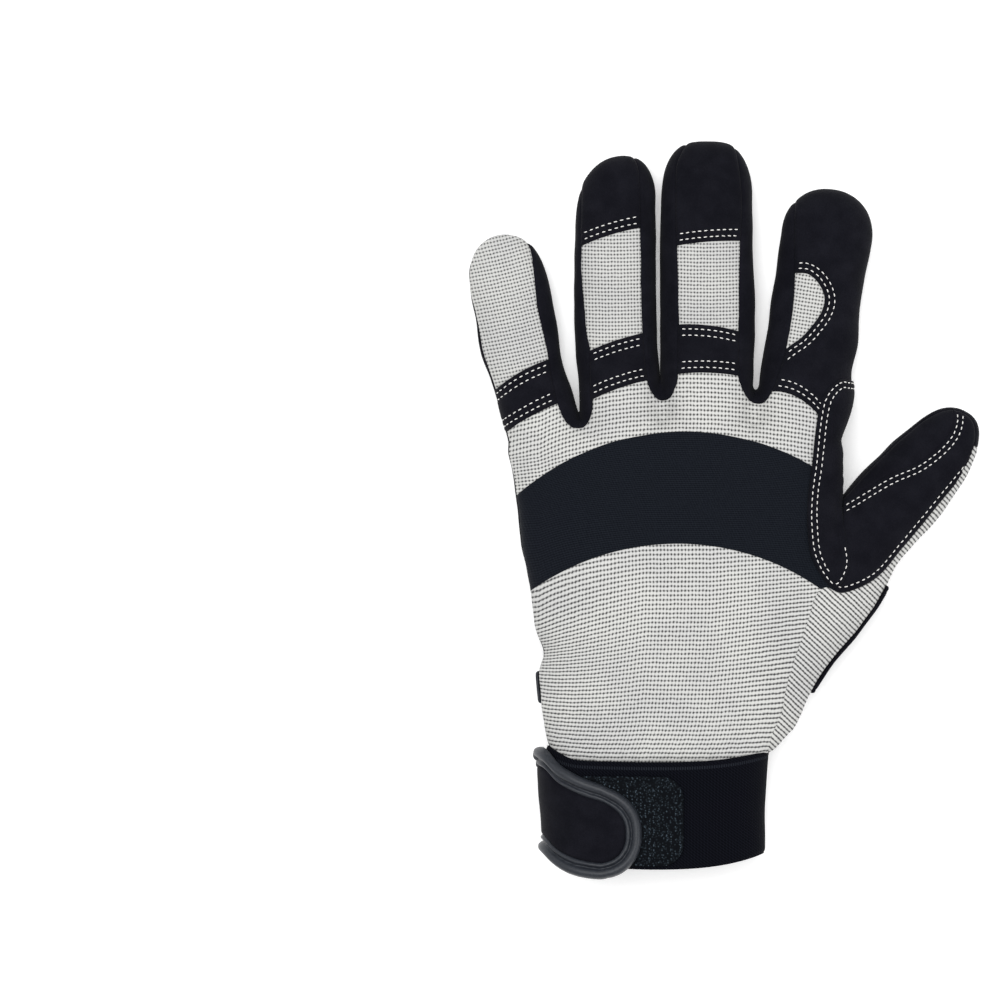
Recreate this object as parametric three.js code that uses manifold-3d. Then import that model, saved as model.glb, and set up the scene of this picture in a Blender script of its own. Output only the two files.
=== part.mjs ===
// A left-hand work glove that lies palm down: a sewn shell of cloth and synthetic leather panels,
// an elastic cuff and a hook-and-loop wrist tab. Millimetres. +X points to the thumb side, +Y to the
// fingertips and +Z out of the back of the hand. The shell is drawn round y = 0, the seam at the wrist.
import * as THREE from "three";
import { mergeVertices } from "three/addons/utils/BufferGeometryUtils.js";
import Module from "manifold-3d";

const wasm = await Module();
wasm.setup();

// Driving dimensions of the hand
const HAND_LENGTH = 123; // wrist seam to the crotch of the middle and ring fingers
const HAND_WIDTH = 117; // across the finger roots
const HAND_THICKNESS = 27;
const SHELL_WALL = 1.6; // cloth or leather of every sewn panel
const SEAM_GAP = 0.3; // clearance between two neighbouring pieces
const FLOOR_SINK = 0.8; // how much of each rounded underside is flattened where it rests

// Patches sewn on top of the shell
const PAD_THICKNESS = 1.6;
const PATCH_THICKNESS = 1.2;
const VENT_CORD = 1.5;

// The webs between the finger roots
const WEB_REACH = 0.0244 * HAND_LENGTH; // how far a web's round front stands beyond the seam on the back
const WEB_DEPTH = 0.122 * HAND_LENGTH;
const WEB_THICKNESS = 0.444 * HAND_THICKNESS;
const WEB_HEIGHT = 0.385 * HAND_THICKNESS; // its middle over the surface
const WEB_SPAN = 0.171 * HAND_WIDTH; // it ends inside the two fingers

// The cuff and its tab
const CUFF_LENGTH = 33;
const CUFF_END = 3.5; // the cuff's upper edge, past the wrist line
const CUFF_WIDTH = 0.616 * HAND_WIDTH; // it is drawn in to the wrist's own size
const CUFF_THICKNESS = 1.22 * HAND_THICKNESS;
const CUFF_WALL = 2.2;
const CUFF_CENTRE = -0.064 * HAND_WIDTH; // where its middle lies beside the hand's own
const LOOP_THICKNESS = 0.8;
const LOOP_LENGTH = 34;
const LOOP_WIDTH = 30;
const LOOP_CORNER = 8;
const TAB_THICKNESS = 1.8;
const TAB_LENGTH = 30.5; // from the cuff's side to its round end
const TAB_WIDTH = 30.5;
const TAB_TURN = -10; // degrees by which the closed tab points down
const TAB_DROP = 1.2; // how far its middle lies below the cuff's
const TAB_UNDERLAP = 16; // what is sewn down under the cuff
const CUFF_OVERRUN = 5; // how far the cutters for its layers pass its ends
const PIPING_WIDTH = 3.4;
const PIPING_HEIGHT = 3;

// How finely the rounded forms are cut
const HAND_SIDES = 22;
const FINGER_SIDES = 14;
const WEB_SIDES = 10;
const CUFF_SIDES = 24;
const TIP_SQUARENESS = 2.4; // exponent of a fingertip's outline
const HAND_SQUARENESS = 2.5; // exponent of a section's outline, 2 being an ellipse
const FINGER_SQUARENESS = 2.25;
const FAR = 300; // beyond everything, for cutters
const PALM_LIFT = SEAM_GAP + PAD_THICKNESS; // the palm stands on its pad
const FLOOR_RAMP = 11; // the length in which a digit's underside comes down from there to the table

// The hand's sections: along is a share of its length, left and right are its two edges as shares of
// its width, thick is a share of its thickness.
const HAND_SECTIONS = [
  { along: 0.02, left: -0.385, right: 0.247, thick: 1.1 },
  { along: 0.1, left: -0.384, right: 0.314, thick: 1.03 },
  { along: 0.25, left: -0.402, right: 0.372, thick: 1.04 },
  { along: 0.44, left: -0.418, right: 0.418, thick: 1.04 },
  { along: 0.6, left: -0.448, right: 0.452, thick: 1.02 },
  { along: 0.76, left: -0.468, right: 0.47, thick: 0.97 },
  { along: 0.87, left: -0.49, right: 0.462, thick: 0.91 },
  { along: 0.93, left: -0.498, right: 0.455, thick: 0.8 },
  { along: 0.965, left: -0.47, right: 0.43, thick: 0.62 },
];

// The fingers: root is where the finger's middle crosses the crotch line, as shares of the hand's width
// and length; lean is in degrees towards the thumb; tip is the length of the rounded end. backLeft and
// backRight are how far the panel on the finger's back reaches to each side, as shares of its width.
// Each seam across that back has a place along the finger, a rise to the thumb side and an arch, as
// shares of the finger's own length and width.
const FINGERS = {
  little: {
    rootAcross: -0.397, rootAlong: 0.96, lean: -14, length: 62.5, width: 26, thickness: 17, tip: 17,
    backLeft: 0.77, backRight: 0.323,
    seams: {
      bar: { along: 0.005, rise: 0.22, arch: 0.04 },
      back: { along: 0.24, rise: 0.22, arch: 0.06 },
    },
  },
  ring: {
    rootAcross: -0.172, rootAlong: 1, lean: -0.8, length: 83, width: 27.2, thickness: 18, tip: 18,
    backLeft: 0.39, backRight: 0.301,
    seams: {
      bar: { along: 0.035, rise: 0.32, arch: 0.05 },
      back: { along: 0.235, rise: 0.3, arch: 0.04 },
      cap: { along: 0.66, rise: 0.26, arch: 0.04 },
    },
  },
  middle: {
    rootAcross: 0.077, rootAlong: 1.008, lean: 0, length: 85, width: 30.2, thickness: 19, tip: 13,
    backLeft: 0.318, backRight: 0.341,
    seams: {
      bar: { along: 0.08, rise: -0.03, arch: 0.05 },
      back: { along: 0.265, rise: -0.1, arch: 0.06 },
      cap: { along: 0.6, rise: 0.08, arch: 0.03 },
    },
  },
  index: {
    rootAcross: 0.342, rootAlong: 0.992, lean: 8.5, length: 72.5, width: 29.4, thickness: 18.5, tip: 13,
    backLeft: 0.276, backRight: 0.68,
    seams: { tipPiece: { along: 0.01, rise: -0.5, arch: 0.05 } },
  },
};

// A finger's sections: along is a share of its length, wide and thick are shares of its own, and lift is
// the share of the palm's height that its underside still has there.
const FINGER_SECTIONS = [
  { along: -0.34, wide: 0.76, thick: 0.9, lift: 3 },
  { along: -0.12, wide: 0.98, thick: 1.2, lift: 1 },
  { along: 0.06, wide: 1.02, thick: 1.14, lift: 1 },
  { along: 0.24, wide: 1, thick: 1.04, lift: 0 },
  { along: 0.7, wide: 0.985, thick: 0.98, lift: 0 },
];
const TIP_STEPS = [0.12, 0.5, 0.82]; // places along the rounded end, as shares of it

// The thumb, in the same words. shift moves a section towards the outer side, as a share of its width.
const THUMB = {
  rootAcross: 0.479, rootAlong: 0.537, lean: 35, length: 66.5, width: 27.6, thickness: 20.5, tip: 15,
  liesFrom: 0.09, // where its underside starts to come down to the table, as a share of its length
};
const THUMB_SECTIONS = [
  { along: -0.8, wide: 0.6, thick: 0.9, lift: 3, shift: -0.1 },
  { along: -0.6, wide: 1.04, thick: 1.2, lift: 1, shift: -0.05 },
  { along: -0.4, wide: 1.18, thick: 1.2, lift: 1, shift: -0.1 },
  { along: -0.2, wide: 1.2, thick: 1.16, lift: 1, shift: -0.1 },
  { along: 0, wide: 1.1, thick: 1.1, lift: 1, shift: -0.09 },
  { along: 0.2, wide: 1.02, thick: 1.04, lift: 0.4, shift: -0.05 },
  { along: 0.42, wide: 1.03, thick: 1, lift: 0, shift: -0.02 },
  { along: 0.6, wide: 1, thick: 0.96, lift: 0, shift: 0.02 },
  { along: 0.74, wide: 0.94, thick: 0.9, lift: 0, shift: 0.04 },
];
const THUMB_TIP_SHIFT = 0.07;

// The height of the seam between the back and the palm, as shares of the hand's length and thickness.
const SIDE_SEAM = [
  { along: -0.4, height: 0.56 },
  { along: 0.5, height: 0.56 },
  { along: 0.78, height: 0.54 },
  { along: 1.0, height: 0.42 },
  { along: 1.2, height: 0.33 },
  { along: 2.2, height: 0.32 },
];

// Seams on the hand, seen from above, as shares of the hand's width and length.
const KNUCKLE_BAND = {
  lower: { middle: -0.01, crown: 0.614, radius: 0.71, from: -0.6, to: 0.415 },
  upper: { middle: 0.012, crown: 0.916, radius: 0.718, from: -0.6, to: 0.49 },
};
const GUSSET_SEAM = [
  { across: 0.254, along: -0.2 },
  { across: 0.256, along: 0.05 },
  { across: 0.285, along: 0.161 },
  { across: 0.32, along: 0.287 },
  { across: 0.355, along: 0.388 },
  { across: 0.404, along: 0.493 },
];
const THUMB_CROTCH = [
  { across: 0.53, along: 0.9 },
  { across: 0.478, along: 0.775 },
  { across: 0.468, along: 0.69 },
  { across: 0.458, along: 0.58 },
  { across: 0.434, along: 0.486 },
];
const PALM_EDGE = [
  { across: 0.07, along: -0.2 },
  { across: 0.088, along: 0.05 },
  { across: 0.134, along: 0.149 },
  { across: 0.197, along: 0.29 },
  { across: 0.315, along: 0.411 },
  { across: 0.385, along: 0.49 },
];
// The bottoms of the three webs between the fingers.
const WEBS = [
  { left: "little", right: "ring", across: -0.29, along: 0.929 },
  { left: "ring", right: "middle", across: -0.057, along: 0.996 },
  { left: "middle", right: "index", across: 0.225, along: 0.989 },
];
const WEB_RISE = 0.12; // where a web's straight sides begin above its bottom, as a share of the finger

// Seams on the thumb, as shares of its width and length.
const THUMB_EDGE = [
  { across: 0.08, along: -0.11 },
  { across: 0.26, along: 0 },
  { across: 0.37, along: 0.18 },
  { across: 0.43, along: 0.36 },
  { across: 0.475, along: 0.58 },
  { across: 0.47, along: 0.73 },
  { across: 0.41, along: 0.87 },
  { across: 0.3, along: 0.97 },
  { across: 0.1, along: 1.12 },
];
const THUMB_RIDGE = [
  { across: -0.75, along: 0.1 },
  { across: -0.48, along: 0.23 },
  { across: -0.36, along: 0.345 },
  { across: -0.17, along: 0.5 },
  { across: 0.02, along: 0.64 },
  { across: 0.105, along: 0.77 },
  { across: 0.1, along: 0.87 },
  { across: 0, along: 1.12 },
];
const THUMB_UNDERSEAM = [
  { across: -0.18, along: -0.12 },
  { across: -0.13, along: 0.16 },
  { across: -0.075, along: 0.44 },
  { across: -0.06, along: 0.7 },
  { across: -0.06, along: 0.88 },
  { across: 0.1, along: 1.12 },
];
// The half-round window of cloth in the index finger's back, as shares of that finger.
const INDEX_WINDOW = [
  { across: -0.6, along: 0.585 },
  { across: -0.276, along: 0.592 },
  { across: -0.133, along: 0.594 },
  { across: 0, along: 0.56 },
  { across: 0.092, along: 0.5 },
  { across: 0.09, along: 0.44 },
  { across: 0.02, along: 0.378 },
  { across: -0.1, along: 0.304 },
  { across: -0.235, along: 0.252 },
  { across: -0.6, along: 0.1 },
];

// Outlines of the sewn-on patches, seen from above, as shares of the hand's width and length.
const SIDE_PATCH = [
  { across: 0.6, along: 1.05 },
  { across: 0.49, along: 1.05 },
  { across: 0.45, along: 1.052 },
  { across: 0.408, along: 1.01 },
  { across: 0.39, along: 0.95 },
  { across: 0.376, along: 0.81 },
  { across: 0.363, along: 0.73 },
  { across: 0.363, along: 0.642 },
  { across: 0.378, along: 0.569 },
  { across: 0.42, along: 0.505 },
  { across: 0.444, along: 0.5 },
  { across: 0.458, along: 0.56 },
  { across: 0.465, along: 0.69 },
  { across: 0.47, along: 0.78 },
  { across: 0.6, along: 0.95 },
];
const PALM_PAD = [
  { across: 0.255, along: 0.655 },
  { across: 0.214, along: 0.572 },
  { across: 0.172, along: 0.472 },
  { across: 0.12, along: 0.372 },
  { across: 0.062, along: 0.288 },
  { across: 0.007, along: 0.224 },
  { across: -0.06, along: 0.186 },
  { across: -0.13, along: 0.19 },
  { across: -0.21, along: 0.235 },
  { across: -0.279, along: 0.311 },
  { across: -0.33, along: 0.38 },
  { across: -0.365, along: 0.452 },
  { across: -0.39, along: 0.54 },
  { across: -0.405, along: 0.64 },
  { across: -0.415, along: 0.738 },
  { across: -0.425, along: 0.84 },
  { across: -0.415, along: 0.9 },
  { across: -0.385, along: 0.915 },
  { across: -0.338, along: 0.865 },
  { across: -0.285, along: 0.85 },
  { across: -0.235, along: 0.87 },
  { across: -0.2, along: 0.925 },
  { across: -0.15, along: 0.975 },
  { across: -0.11, along: 0.955 },
  { across: -0.075, along: 0.925 },
  { across: -0.023, along: 0.93 },
  { across: 0.06, along: 0.99 },
  { across: 0.108, along: 0.972 },
  { across: 0.144, along: 0.92 },
  { across: 0.2, along: 0.904 },
  { across: 0.244, along: 0.922 },
  { across: 0.278, along: 0.972 },
  { across: 0.33, along: 1.005 },
  { across: 0.37, along: 0.99 },
  { across: 0.392, along: 0.9 },
  { across: 0.402, along: 0.82 },
  { across: 0.392, along: 0.775 },
  { across: 0.35, along: 0.757 },
  { across: 0.156, along: 0.754 },
  { across: 0.03, along: 0.747 },
  { across: -0.094, along: 0.732 },
  { across: -0.189, along: 0.706 },
  { across: -0.254, along: 0.654 },
  { across: -0.281, along: 0.6 },
  { across: -0.275, along: 0.525 },
  { across: -0.235, along: 0.435 },
  { across: -0.17, along: 0.368 },
  { across: -0.115, along: 0.352 },
  { across: -0.07, along: 0.372 },
  { across: -0.045, along: 0.44 },
  { across: -0.035, along: 0.53 },
  { across: -0.06, along: 0.572 },
  { across: -0.13, along: 0.59 },
  { across: -0.168, along: 0.612 },
  { across: -0.165, along: 0.642 },
  { across: -0.13, along: 0.668 },
  { across: -0.05, along: 0.692 },
  { across: 0.06, along: 0.704 },
  { across: 0.16, along: 0.7 },
  { across: 0.235, along: 0.682 },
];
const HEEL_PATCH = [
  { across: 0.7, along: 0.15 },
  { across: 0.35, along: 0.217 },
  { across: 0.309, along: 0.25 },
  { across: 0.254, along: 0.292 },
  { across: 0.222, along: 0.302 },
  { across: 0.29, along: 0.376 },
  { across: 0.375, along: 0.47 },
  { across: 0.39, along: 0.492 },
  { across: 0.405, along: 0.462 },
  { across: 0.431, along: 0.456 },
  { across: 0.47, along: 0.486 },
  { across: 0.54, along: 0.537 },
  { across: 0.6, along: 0.565 },
  { across: 0.7, along: 0.56 },
];
const VENT_BINDING = [
  { across: -0.262, along: 0.14 },
  { across: -0.3, along: 0.19 },
  { across: -0.345, along: 0.222 },
  { across: -0.42, along: 0.242 },
  { across: -0.5, along: 0.25 },
  { across: -0.5, along: 0.28 },
  { across: -0.41, along: 0.272 },
  { across: -0.33, along: 0.25 },
  { across: -0.28, along: 0.212 },
  { across: -0.24, along: 0.155 },
];

const BLACK_LEATHER = { color: 0x17191f, roughness: 0.85, metalness: 0 };
const GREY_CLOTH = { color: 0xb9bbb8, roughness: 0.9, metalness: 0 };
const BAND_CLOTH = { color: 0x14161d, roughness: 0.8, metalness: 0 };
const ELASTIC = { color: 0x0e1016, roughness: 0.95, metalness: 0 };
const LOOP_PILE = { color: 0x1c1f25, roughness: 1, metalness: 0 };
const PIPING = { color: 0x272b33, roughness: 0.45, metalness: 0 };

const corner = (x, y) => new THREE.Vector2(x, y);

// Frames in which the tables are read: each turns a place in shares into a point seen from above.
const onHand = (p) => new THREE.Vector2(p.across * HAND_WIDTH, p.along * HAND_LENGTH);

function onDigit(digit, across, along) {
  const lean = THREE.MathUtils.degToRad(digit.lean);
  const root = onHand({ across: digit.rootAcross, along: digit.rootAlong });
  return new THREE.Vector2(
    root.x + across * Math.cos(lean) + along * Math.sin(lean),
    root.y - across * Math.sin(lean) + along * Math.cos(lean),
  );
}
const onDigitShare = (digit) => (p) => onDigit(digit, p.across * digit.width, p.along * digit.length);

// Solids from three.js geometry, and the other way round.
function solid(geometry) {
  const bare = new THREE.BufferGeometry().setAttribute("position", geometry.getAttribute("position"));
  bare.setIndex(geometry.getIndex());
  const merged = mergeVertices(bare, 1e-4);
  return new wasm.Manifold(
    new wasm.Mesh({
      numProp: 3,
      vertProperties: merged.getAttribute("position").array,
      triVerts: new Uint32Array(merged.getIndex().array),
    }),
  );
}

function geometryOf(body) {
  const mesh = body.getMesh();
  const geometry = new THREE.BufferGeometry();
  geometry.setAttribute("position", new THREE.BufferAttribute(new Float32Array(mesh.vertProperties), 3));
  geometry.setIndex(new THREE.BufferAttribute(new Uint32Array(mesh.triVerts), 1));
  return geometry;
}

const joined = (bodies) => bodies.reduce((all, body) => all.add(body));

// A closed body through rings that all have the same number of points.
// The last one is closed over apex, or else flat.
function loft(rings, apex) {
  const sides = rings[0].length;
  const centres = [rings[0], rings[rings.length - 1]].map((ring) =>
    ring.reduce((sum, p) => sum.add(p), new THREE.Vector3()).divideScalar(sides),
  );
  if (apex) centres[1] = apex;
  const points = [...rings.flat(), ...centres];
  const [first, last] = [points.length - 2, points.length - 1];
  const at = (row, side) => row * sides + (side % sides);
  const faces = [];
  for (let side = 0; side < sides; side++) {
    for (let row = 0; row + 1 < rings.length; row++) {
      faces.push(at(row, side), at(row, side + 1), at(row + 1, side + 1));
      faces.push(at(row, side), at(row + 1, side + 1), at(row + 1, side));
    }
    faces.push(at(0, side + 1), at(0, side), first);
    faces.push(at(rings.length - 1, side), at(rings.length - 1, side + 1), last);
  }
  const geometry = new THREE.BufferGeometry().setFromPoints(points);
  geometry.setIndex(faces);
  return solid(geometry);
}

// A rounded section: its middle, the direction of its width, its half sizes and how square it is.
function ring(middle, sideways, halfWidth, halfThickness, squareness, sides) {
  const points = [];
  for (let i = 0; i < sides; i++) {
    const turn = (2 * Math.PI * (i + 0.5)) / sides;
    const power = (value) => Math.sign(value) * Math.abs(value) ** (2 / squareness);
    const across = -power(Math.cos(turn)) * halfWidth;
    const up = power(Math.sin(turn)) * halfThickness;
    points.push(new THREE.Vector3(
      middle.x + sideways.x * across, middle.y + sideways.y * across, middle.z + up,
    ));
  }
  return points;
}

// What a plan outline encloses, between two heights.
function prism(outline, from = -FAR, to = FAR) {
  const flat = outline.map((p) => new THREE.Vector2(p.x, p.y));
  const shape = new THREE.Shape(THREE.ShapeUtils.area(flat) < 0 ? flat.reverse() : flat);
  const geometry = new THREE.ExtrudeGeometry(shape, { depth: to - from, bevelEnabled: false });
  return solid(geometry.translate(0, 0, from));
}

const slabAbove = (height) => prism([[-1, -1], [1, -1], [1, 1], [-1, 1]].map(([x, y]) =>
  ({ x: x * FAR, y: y * FAR })), height, FAR);

// What an outline encloses that is drawn in a vertical plane, the first figure along Y and the second
// along Z, over the whole glove.
function sideOn(outline) {
  const shape = new THREE.Shape(outline.map(([along, height]) => new THREE.Vector2(along, height)));
  const geometry = new THREE.ExtrudeGeometry(shape, { depth: 2 * FAR, bevelEnabled: false });
  geometry.translate(0, 0, -FAR);
  return solid(geometry.applyMatrix4(new THREE.Matrix4().makeBasis(
    new THREE.Vector3(0, 1, 0), new THREE.Vector3(0, 0, 1), new THREE.Vector3(1, 0, 0),
  )));
}

// Everything over the surface: the palm stands on its pad up to a bend, and from there the underside
// comes down to the table.
function overFloor(inset, bend, lean = 0) {
  const body = sideOn([
    [-FAR, PALM_LIFT + inset], [bend, PALM_LIFT + inset], [bend + FLOOR_RAMP, inset], [FAR, inset],
    [FAR, FAR], [-FAR, FAR],
  ]);
  return lean === 0 ? body : body.rotate([0, 0, -lean]);
}

// A smooth line through a table's points, seen from above, with a few steps between them.
function smoothLine(points, steps = 2, closed = false) {
  const spatial = points.map((p) => new THREE.Vector3(p.x, p.y, 0));
  const curve = new THREE.CatmullRomCurve3(spatial, closed, "centripetal");
  const count = steps * (points.length - (closed ? 0 : 1));
  const line = [];
  for (let i = 0; i <= count - (closed ? 1 : 0); i++) {
    line.push(curve.getPoint(i / count));
  }
  return line;
}

// A thin cut along a line: what two neighbouring panels keep between them.
function cutAlong(line) {
  const left = [];
  const right = [];
  line.forEach((p, i) => {
    const before = line[Math.max(i - 1, 0)];
    const after = line[Math.min(i + 1, line.length - 1)];
    const way = new THREE.Vector2(after.x - before.x, after.y - before.y).normalize();
    left.push({ x: p.x - (way.y * SEAM_GAP) / 2, y: p.y + (way.x * SEAM_GAP) / 2 });
    right.push({ x: p.x + (way.y * SEAM_GAP) / 2, y: p.y - (way.x * SEAM_GAP) / 2 });
  });
  return prism([...left, ...right.reverse()]);
}

// The skin of the hand, a finger, the thumb: the same form drawn deeper by inset, or further out
// where inset is less than nothing.
function handBody(inset) {
  const rings = HAND_SECTIONS.map(({ along, left, right, thick }, i) => {
    const halfThickness = (thick * HAND_THICKNESS) / 2;
    const open = i === 0 ? 2 * SHELL_WALL : 0; // the wrist end runs on, and is trimmed at the seam
    const middle = new THREE.Vector3(
      ((left + right) * HAND_WIDTH) / 2,
      along * HAND_LENGTH - open - (i === HAND_SECTIONS.length - 1 ? inset : 0),
      PALM_LIFT - FLOOR_SINK + Math.max(halfThickness, HAND_THICKNESS * 0.45),
    );
    return ring(
      middle, new THREE.Vector2(1, 0), ((right - left) * HAND_WIDTH) / 2 - inset,
      halfThickness - inset, HAND_SQUARENESS, HAND_SIDES,
    );
  });
  return loft(rings).intersect(overFloor(inset, HAND_LENGTH));
}

function digitBody(digit, sections, inset, tipShift = 0) {
  const lean = THREE.MathUtils.degToRad(digit.lean);
  const sideways = new THREE.Vector2(Math.cos(lean), -Math.sin(lean));
  const length = digit.length - inset;
  const last = sections[sections.length - 1];
  const domeFrom = digit.length - digit.tip;
  const rows = sections.map((s) => ({ ...s, reach: s.along * digit.length, shift: s.shift ?? 0 }));
  for (const share of TIP_STEPS) {
    const round = (1 - share ** TIP_SQUARENESS) ** (1 / TIP_SQUARENESS);
    rows.push({
      reach: domeFrom + share * (length - domeFrom),
      wide: last.wide * round,
      thick: last.thick * round ** 0.8,
      lift: 0,
      shift: (last.shift ?? 0) + (tipShift - (last.shift ?? 0)) * share,
    });
  }
  const rest = digit.thickness / 2 - FLOOR_SINK;
  const rings = rows.map((row) => {
    const place = onDigit(digit, row.shift * digit.width, row.reach);
    const body = row.reach <= domeFrom ? row.thick : last.thick;
    const height = (rest + FLOOR_SINK) * body - FLOOR_SINK + row.lift * PALM_LIFT;
    return ring(
      new THREE.Vector3(place.x, place.y, height), sideways, (row.wide * digit.width) / 2 - inset,
      (row.thick * digit.thickness) / 2 - inset, FINGER_SQUARENESS, FINGER_SIDES,
    );
  });
  const tip = onDigit(digit, rows[rows.length - 1].shift * digit.width, length);
  const apex = new THREE.Vector3(tip.x, tip.y, (digit.thickness / 2) * last.thick - FLOOR_SINK);
  if (digit.liesFrom === undefined) return loft(rings, apex).intersect(overFloor(inset, HAND_LENGTH));
  const bend = onDigit(digit, 0, digit.liesFrom * digit.length).dot(corner(Math.sin(lean), Math.cos(lean)));
  return loft(rings, apex).intersect(overFloor(inset, bend, digit.lean));
}

function webBody({ left, right, across, along }, inset) {
  const [from, to] = [left, right].map((name) => onDigit(FINGERS[name], 0, 0));
  const way = to.clone().sub(from).normalize();
  const ahead = new THREE.Vector2(-way.y, way.x);
  const front = onHand({ across, along }).addScaledVector(ahead, WEB_REACH - WEB_DEPTH / 2);
  const rings = [0.5, -0.5].map((share) => {
    const place = front.clone().addScaledVector(way, share * WEB_SPAN);
    return ring(
      new THREE.Vector3(place.x, place.y, WEB_HEIGHT), ahead, WEB_DEPTH / 2 - inset,
      WEB_THICKNESS / 2 - inset, 2, WEB_SIDES,
    );
  });
  return loft(rings);
}

function skin(inset) {
  return joined([
    ...WEBS.map((web) => webBody(web, inset)),
    handBody(inset),
    ...Object.values(FINGERS).map((finger) => digitBody(finger, FINGER_SECTIONS, inset)),
    digitBody(THUMB, THUMB_SECTIONS, inset, THUMB_TIP_SHIFT),
  ]);
}

function cuffBody(inset, overrun = 0) {
  const half = CUFF_THICKNESS / 2;
  const rows = [CUFF_END - CUFF_LENGTH - overrun, CUFF_END + overrun];
  const rings = rows.map((y) =>
    ring(
      new THREE.Vector3(CUFF_CENTRE, y, half - FLOOR_SINK), new THREE.Vector2(1, 0),
      CUFF_WIDTH / 2 - inset, half - inset, HAND_SQUARENESS, CUFF_SIDES,
    ),
  );
  return loft(rings).intersect(slabAbove(inset));
}

// Lines of the seams, seen from above.
function bandLine({ middle, crown, radius, from, to }) {
  const steps = 11;
  const line = [];
  for (let i = 0; i <= steps; i++) {
    const across = from + ((to - from) * i) / steps;
    const drop = radius - Math.sqrt(radius ** 2 - (across - middle) ** 2);
    line.push(new THREE.Vector2(across * HAND_WIDTH, crown * HAND_LENGTH - drop * HAND_WIDTH));
  }
  return line;
}

function crossLine(finger, { along, rise, arch }) {
  const steps = 5;
  const line = [];
  for (let i = 0; i <= steps; i++) {
    const across = -1 + (2 * i) / steps; // of the finger's width, so that it runs out at both sides
    const up = along * finger.length
      + (rise * across + arch * (1 - (2 * across) ** 2)) * finger.width;
    line.push(onDigit(finger, across * finger.width, up));
  }
  return line;
}

function webOutline({ left, right, across, along }) {
  const bottom = onHand({ across, along });
  const sideOf = (finger, edge) => {
    const foot = WEB_RISE * finger.length;
    const start = onDigit(finger, edge, 0);
    const lean = THREE.MathUtils.degToRad(finger.lean);
    const from = (bottom.y - start.y) / Math.cos(lean) + foot;
    return [onDigit(finger, edge, from), onDigit(finger, edge, finger.length * 1.2)];
  };
  const [leftFoot, leftEnd] = sideOf(FINGERS[left], FINGERS[left].backRight * FINGERS[left].width);
  const [rightFoot, rightEnd] = sideOf(FINGERS[right], -FINGERS[right].backLeft * FINGERS[right].width);
  const turn = new THREE.QuadraticBezierCurve(
    leftFoot,
    new THREE.Vector2(bottom.x, 2 * bottom.y - (leftFoot.y + rightFoot.y) / 2),
    rightFoot,
  );
  return [leftEnd, ...turn.getPoints(6), rightEnd];
}

const webLines = WEBS.map(webOutline);
const lowerBand = bandLine(KNUCKLE_BAND.lower);
const upperBand = bandLine(KNUCKLE_BAND.upper);
const thumbShare = onDigitShare(THUMB);
const gussetLine = smoothLine([...GUSSET_SEAM.map(onHand), ...THUMB_EDGE.map(thumbShare)], 1);
const thumbCrotch = smoothLine(THUMB_CROTCH.map(onHand));
const thumbRidge = smoothLine(THUMB_RIDGE.map(thumbShare), 1);
const palmEdge = smoothLine([...PALM_EDGE.map(onHand), ...THUMB_UNDERSEAM.map(thumbShare)], 1);
const windowLine = smoothLine(INDEX_WINDOW.map(onDigitShare(FINGERS.index)), 1);

// Zones: what lies on one side of a seam.
const below = (line) => prism([...line, corner(FAR, line[line.length - 1].y), corner(FAR, -FAR),
  corner(-FAR, -FAR), corner(-FAR, line[0].y)]);
const rightOf = (line) => prism([...line, corner(FAR, line[line.length - 1].y), corner(FAR, line[0].y)]);

const seamProfile = SIDE_SEAM.map(({ along, height }) => corner(along * HAND_LENGTH, height * HAND_THICKNESS));

// A solid over the whole glove between the side seam moved by two heights, drawn in the YZ plane.
function betweenHeights(from, to) {
  return sideOn([
    ...seamProfile.map((p) => [p.x, p.y + from]),
    ...[...seamProfile].reverse().map((p) => [p.x, to === FAR ? to : p.y + to]),
  ]);
}

const upper = betweenHeights(0, FAR);
const webs = webLines.map((line) => prism(line));
const allWebs = joined(webs);
const thumbFrontZone = prism([
  ...thumbCrotch, ...thumbRidge.slice(-1).map((p) => corner(p.x + HAND_WIDTH, p.y - HAND_LENGTH)),
  corner(FAR, FAR),
]).subtract(rightOf(gussetLine));
const openSide = prism([ // where cloth runs round the thumb's side with no seam
  onHand({ across: 0.2, along: -0.5 }), onHand({ across: 0.2, along: 0.7 }),
  thumbShare({ across: -0.4, along: 0.1 }), thumbShare({ across: 0.05, along: 0.6 }),
  thumbShare({ across: 0.05, along: 1.5 }), corner(FAR, HAND_LENGTH), corner(FAR, -HAND_LENGTH),
]);

// A finger's back between its two long seams, and the part of it beyond one cross seam.
function backStrip(finger) {
  const [left, right] = [-finger.backLeft * finger.width, finger.backRight * finger.width];
  const [start, end] = [-finger.length / 2, finger.length * 1.5];
  return prism([
    onDigit(finger, left, start), onDigit(finger, right, start),
    onDigit(finger, right, end), onDigit(finger, left, end),
  ]);
}
function beyond(finger, seam) {
  const line = crossLine(finger, seam);
  const end = finger.length * 1.5;
  return prism([...line, onDigit(finger, finger.width, end), onDigit(finger, -finger.width, end)])
    .intersect(backStrip(finger));
}

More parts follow.
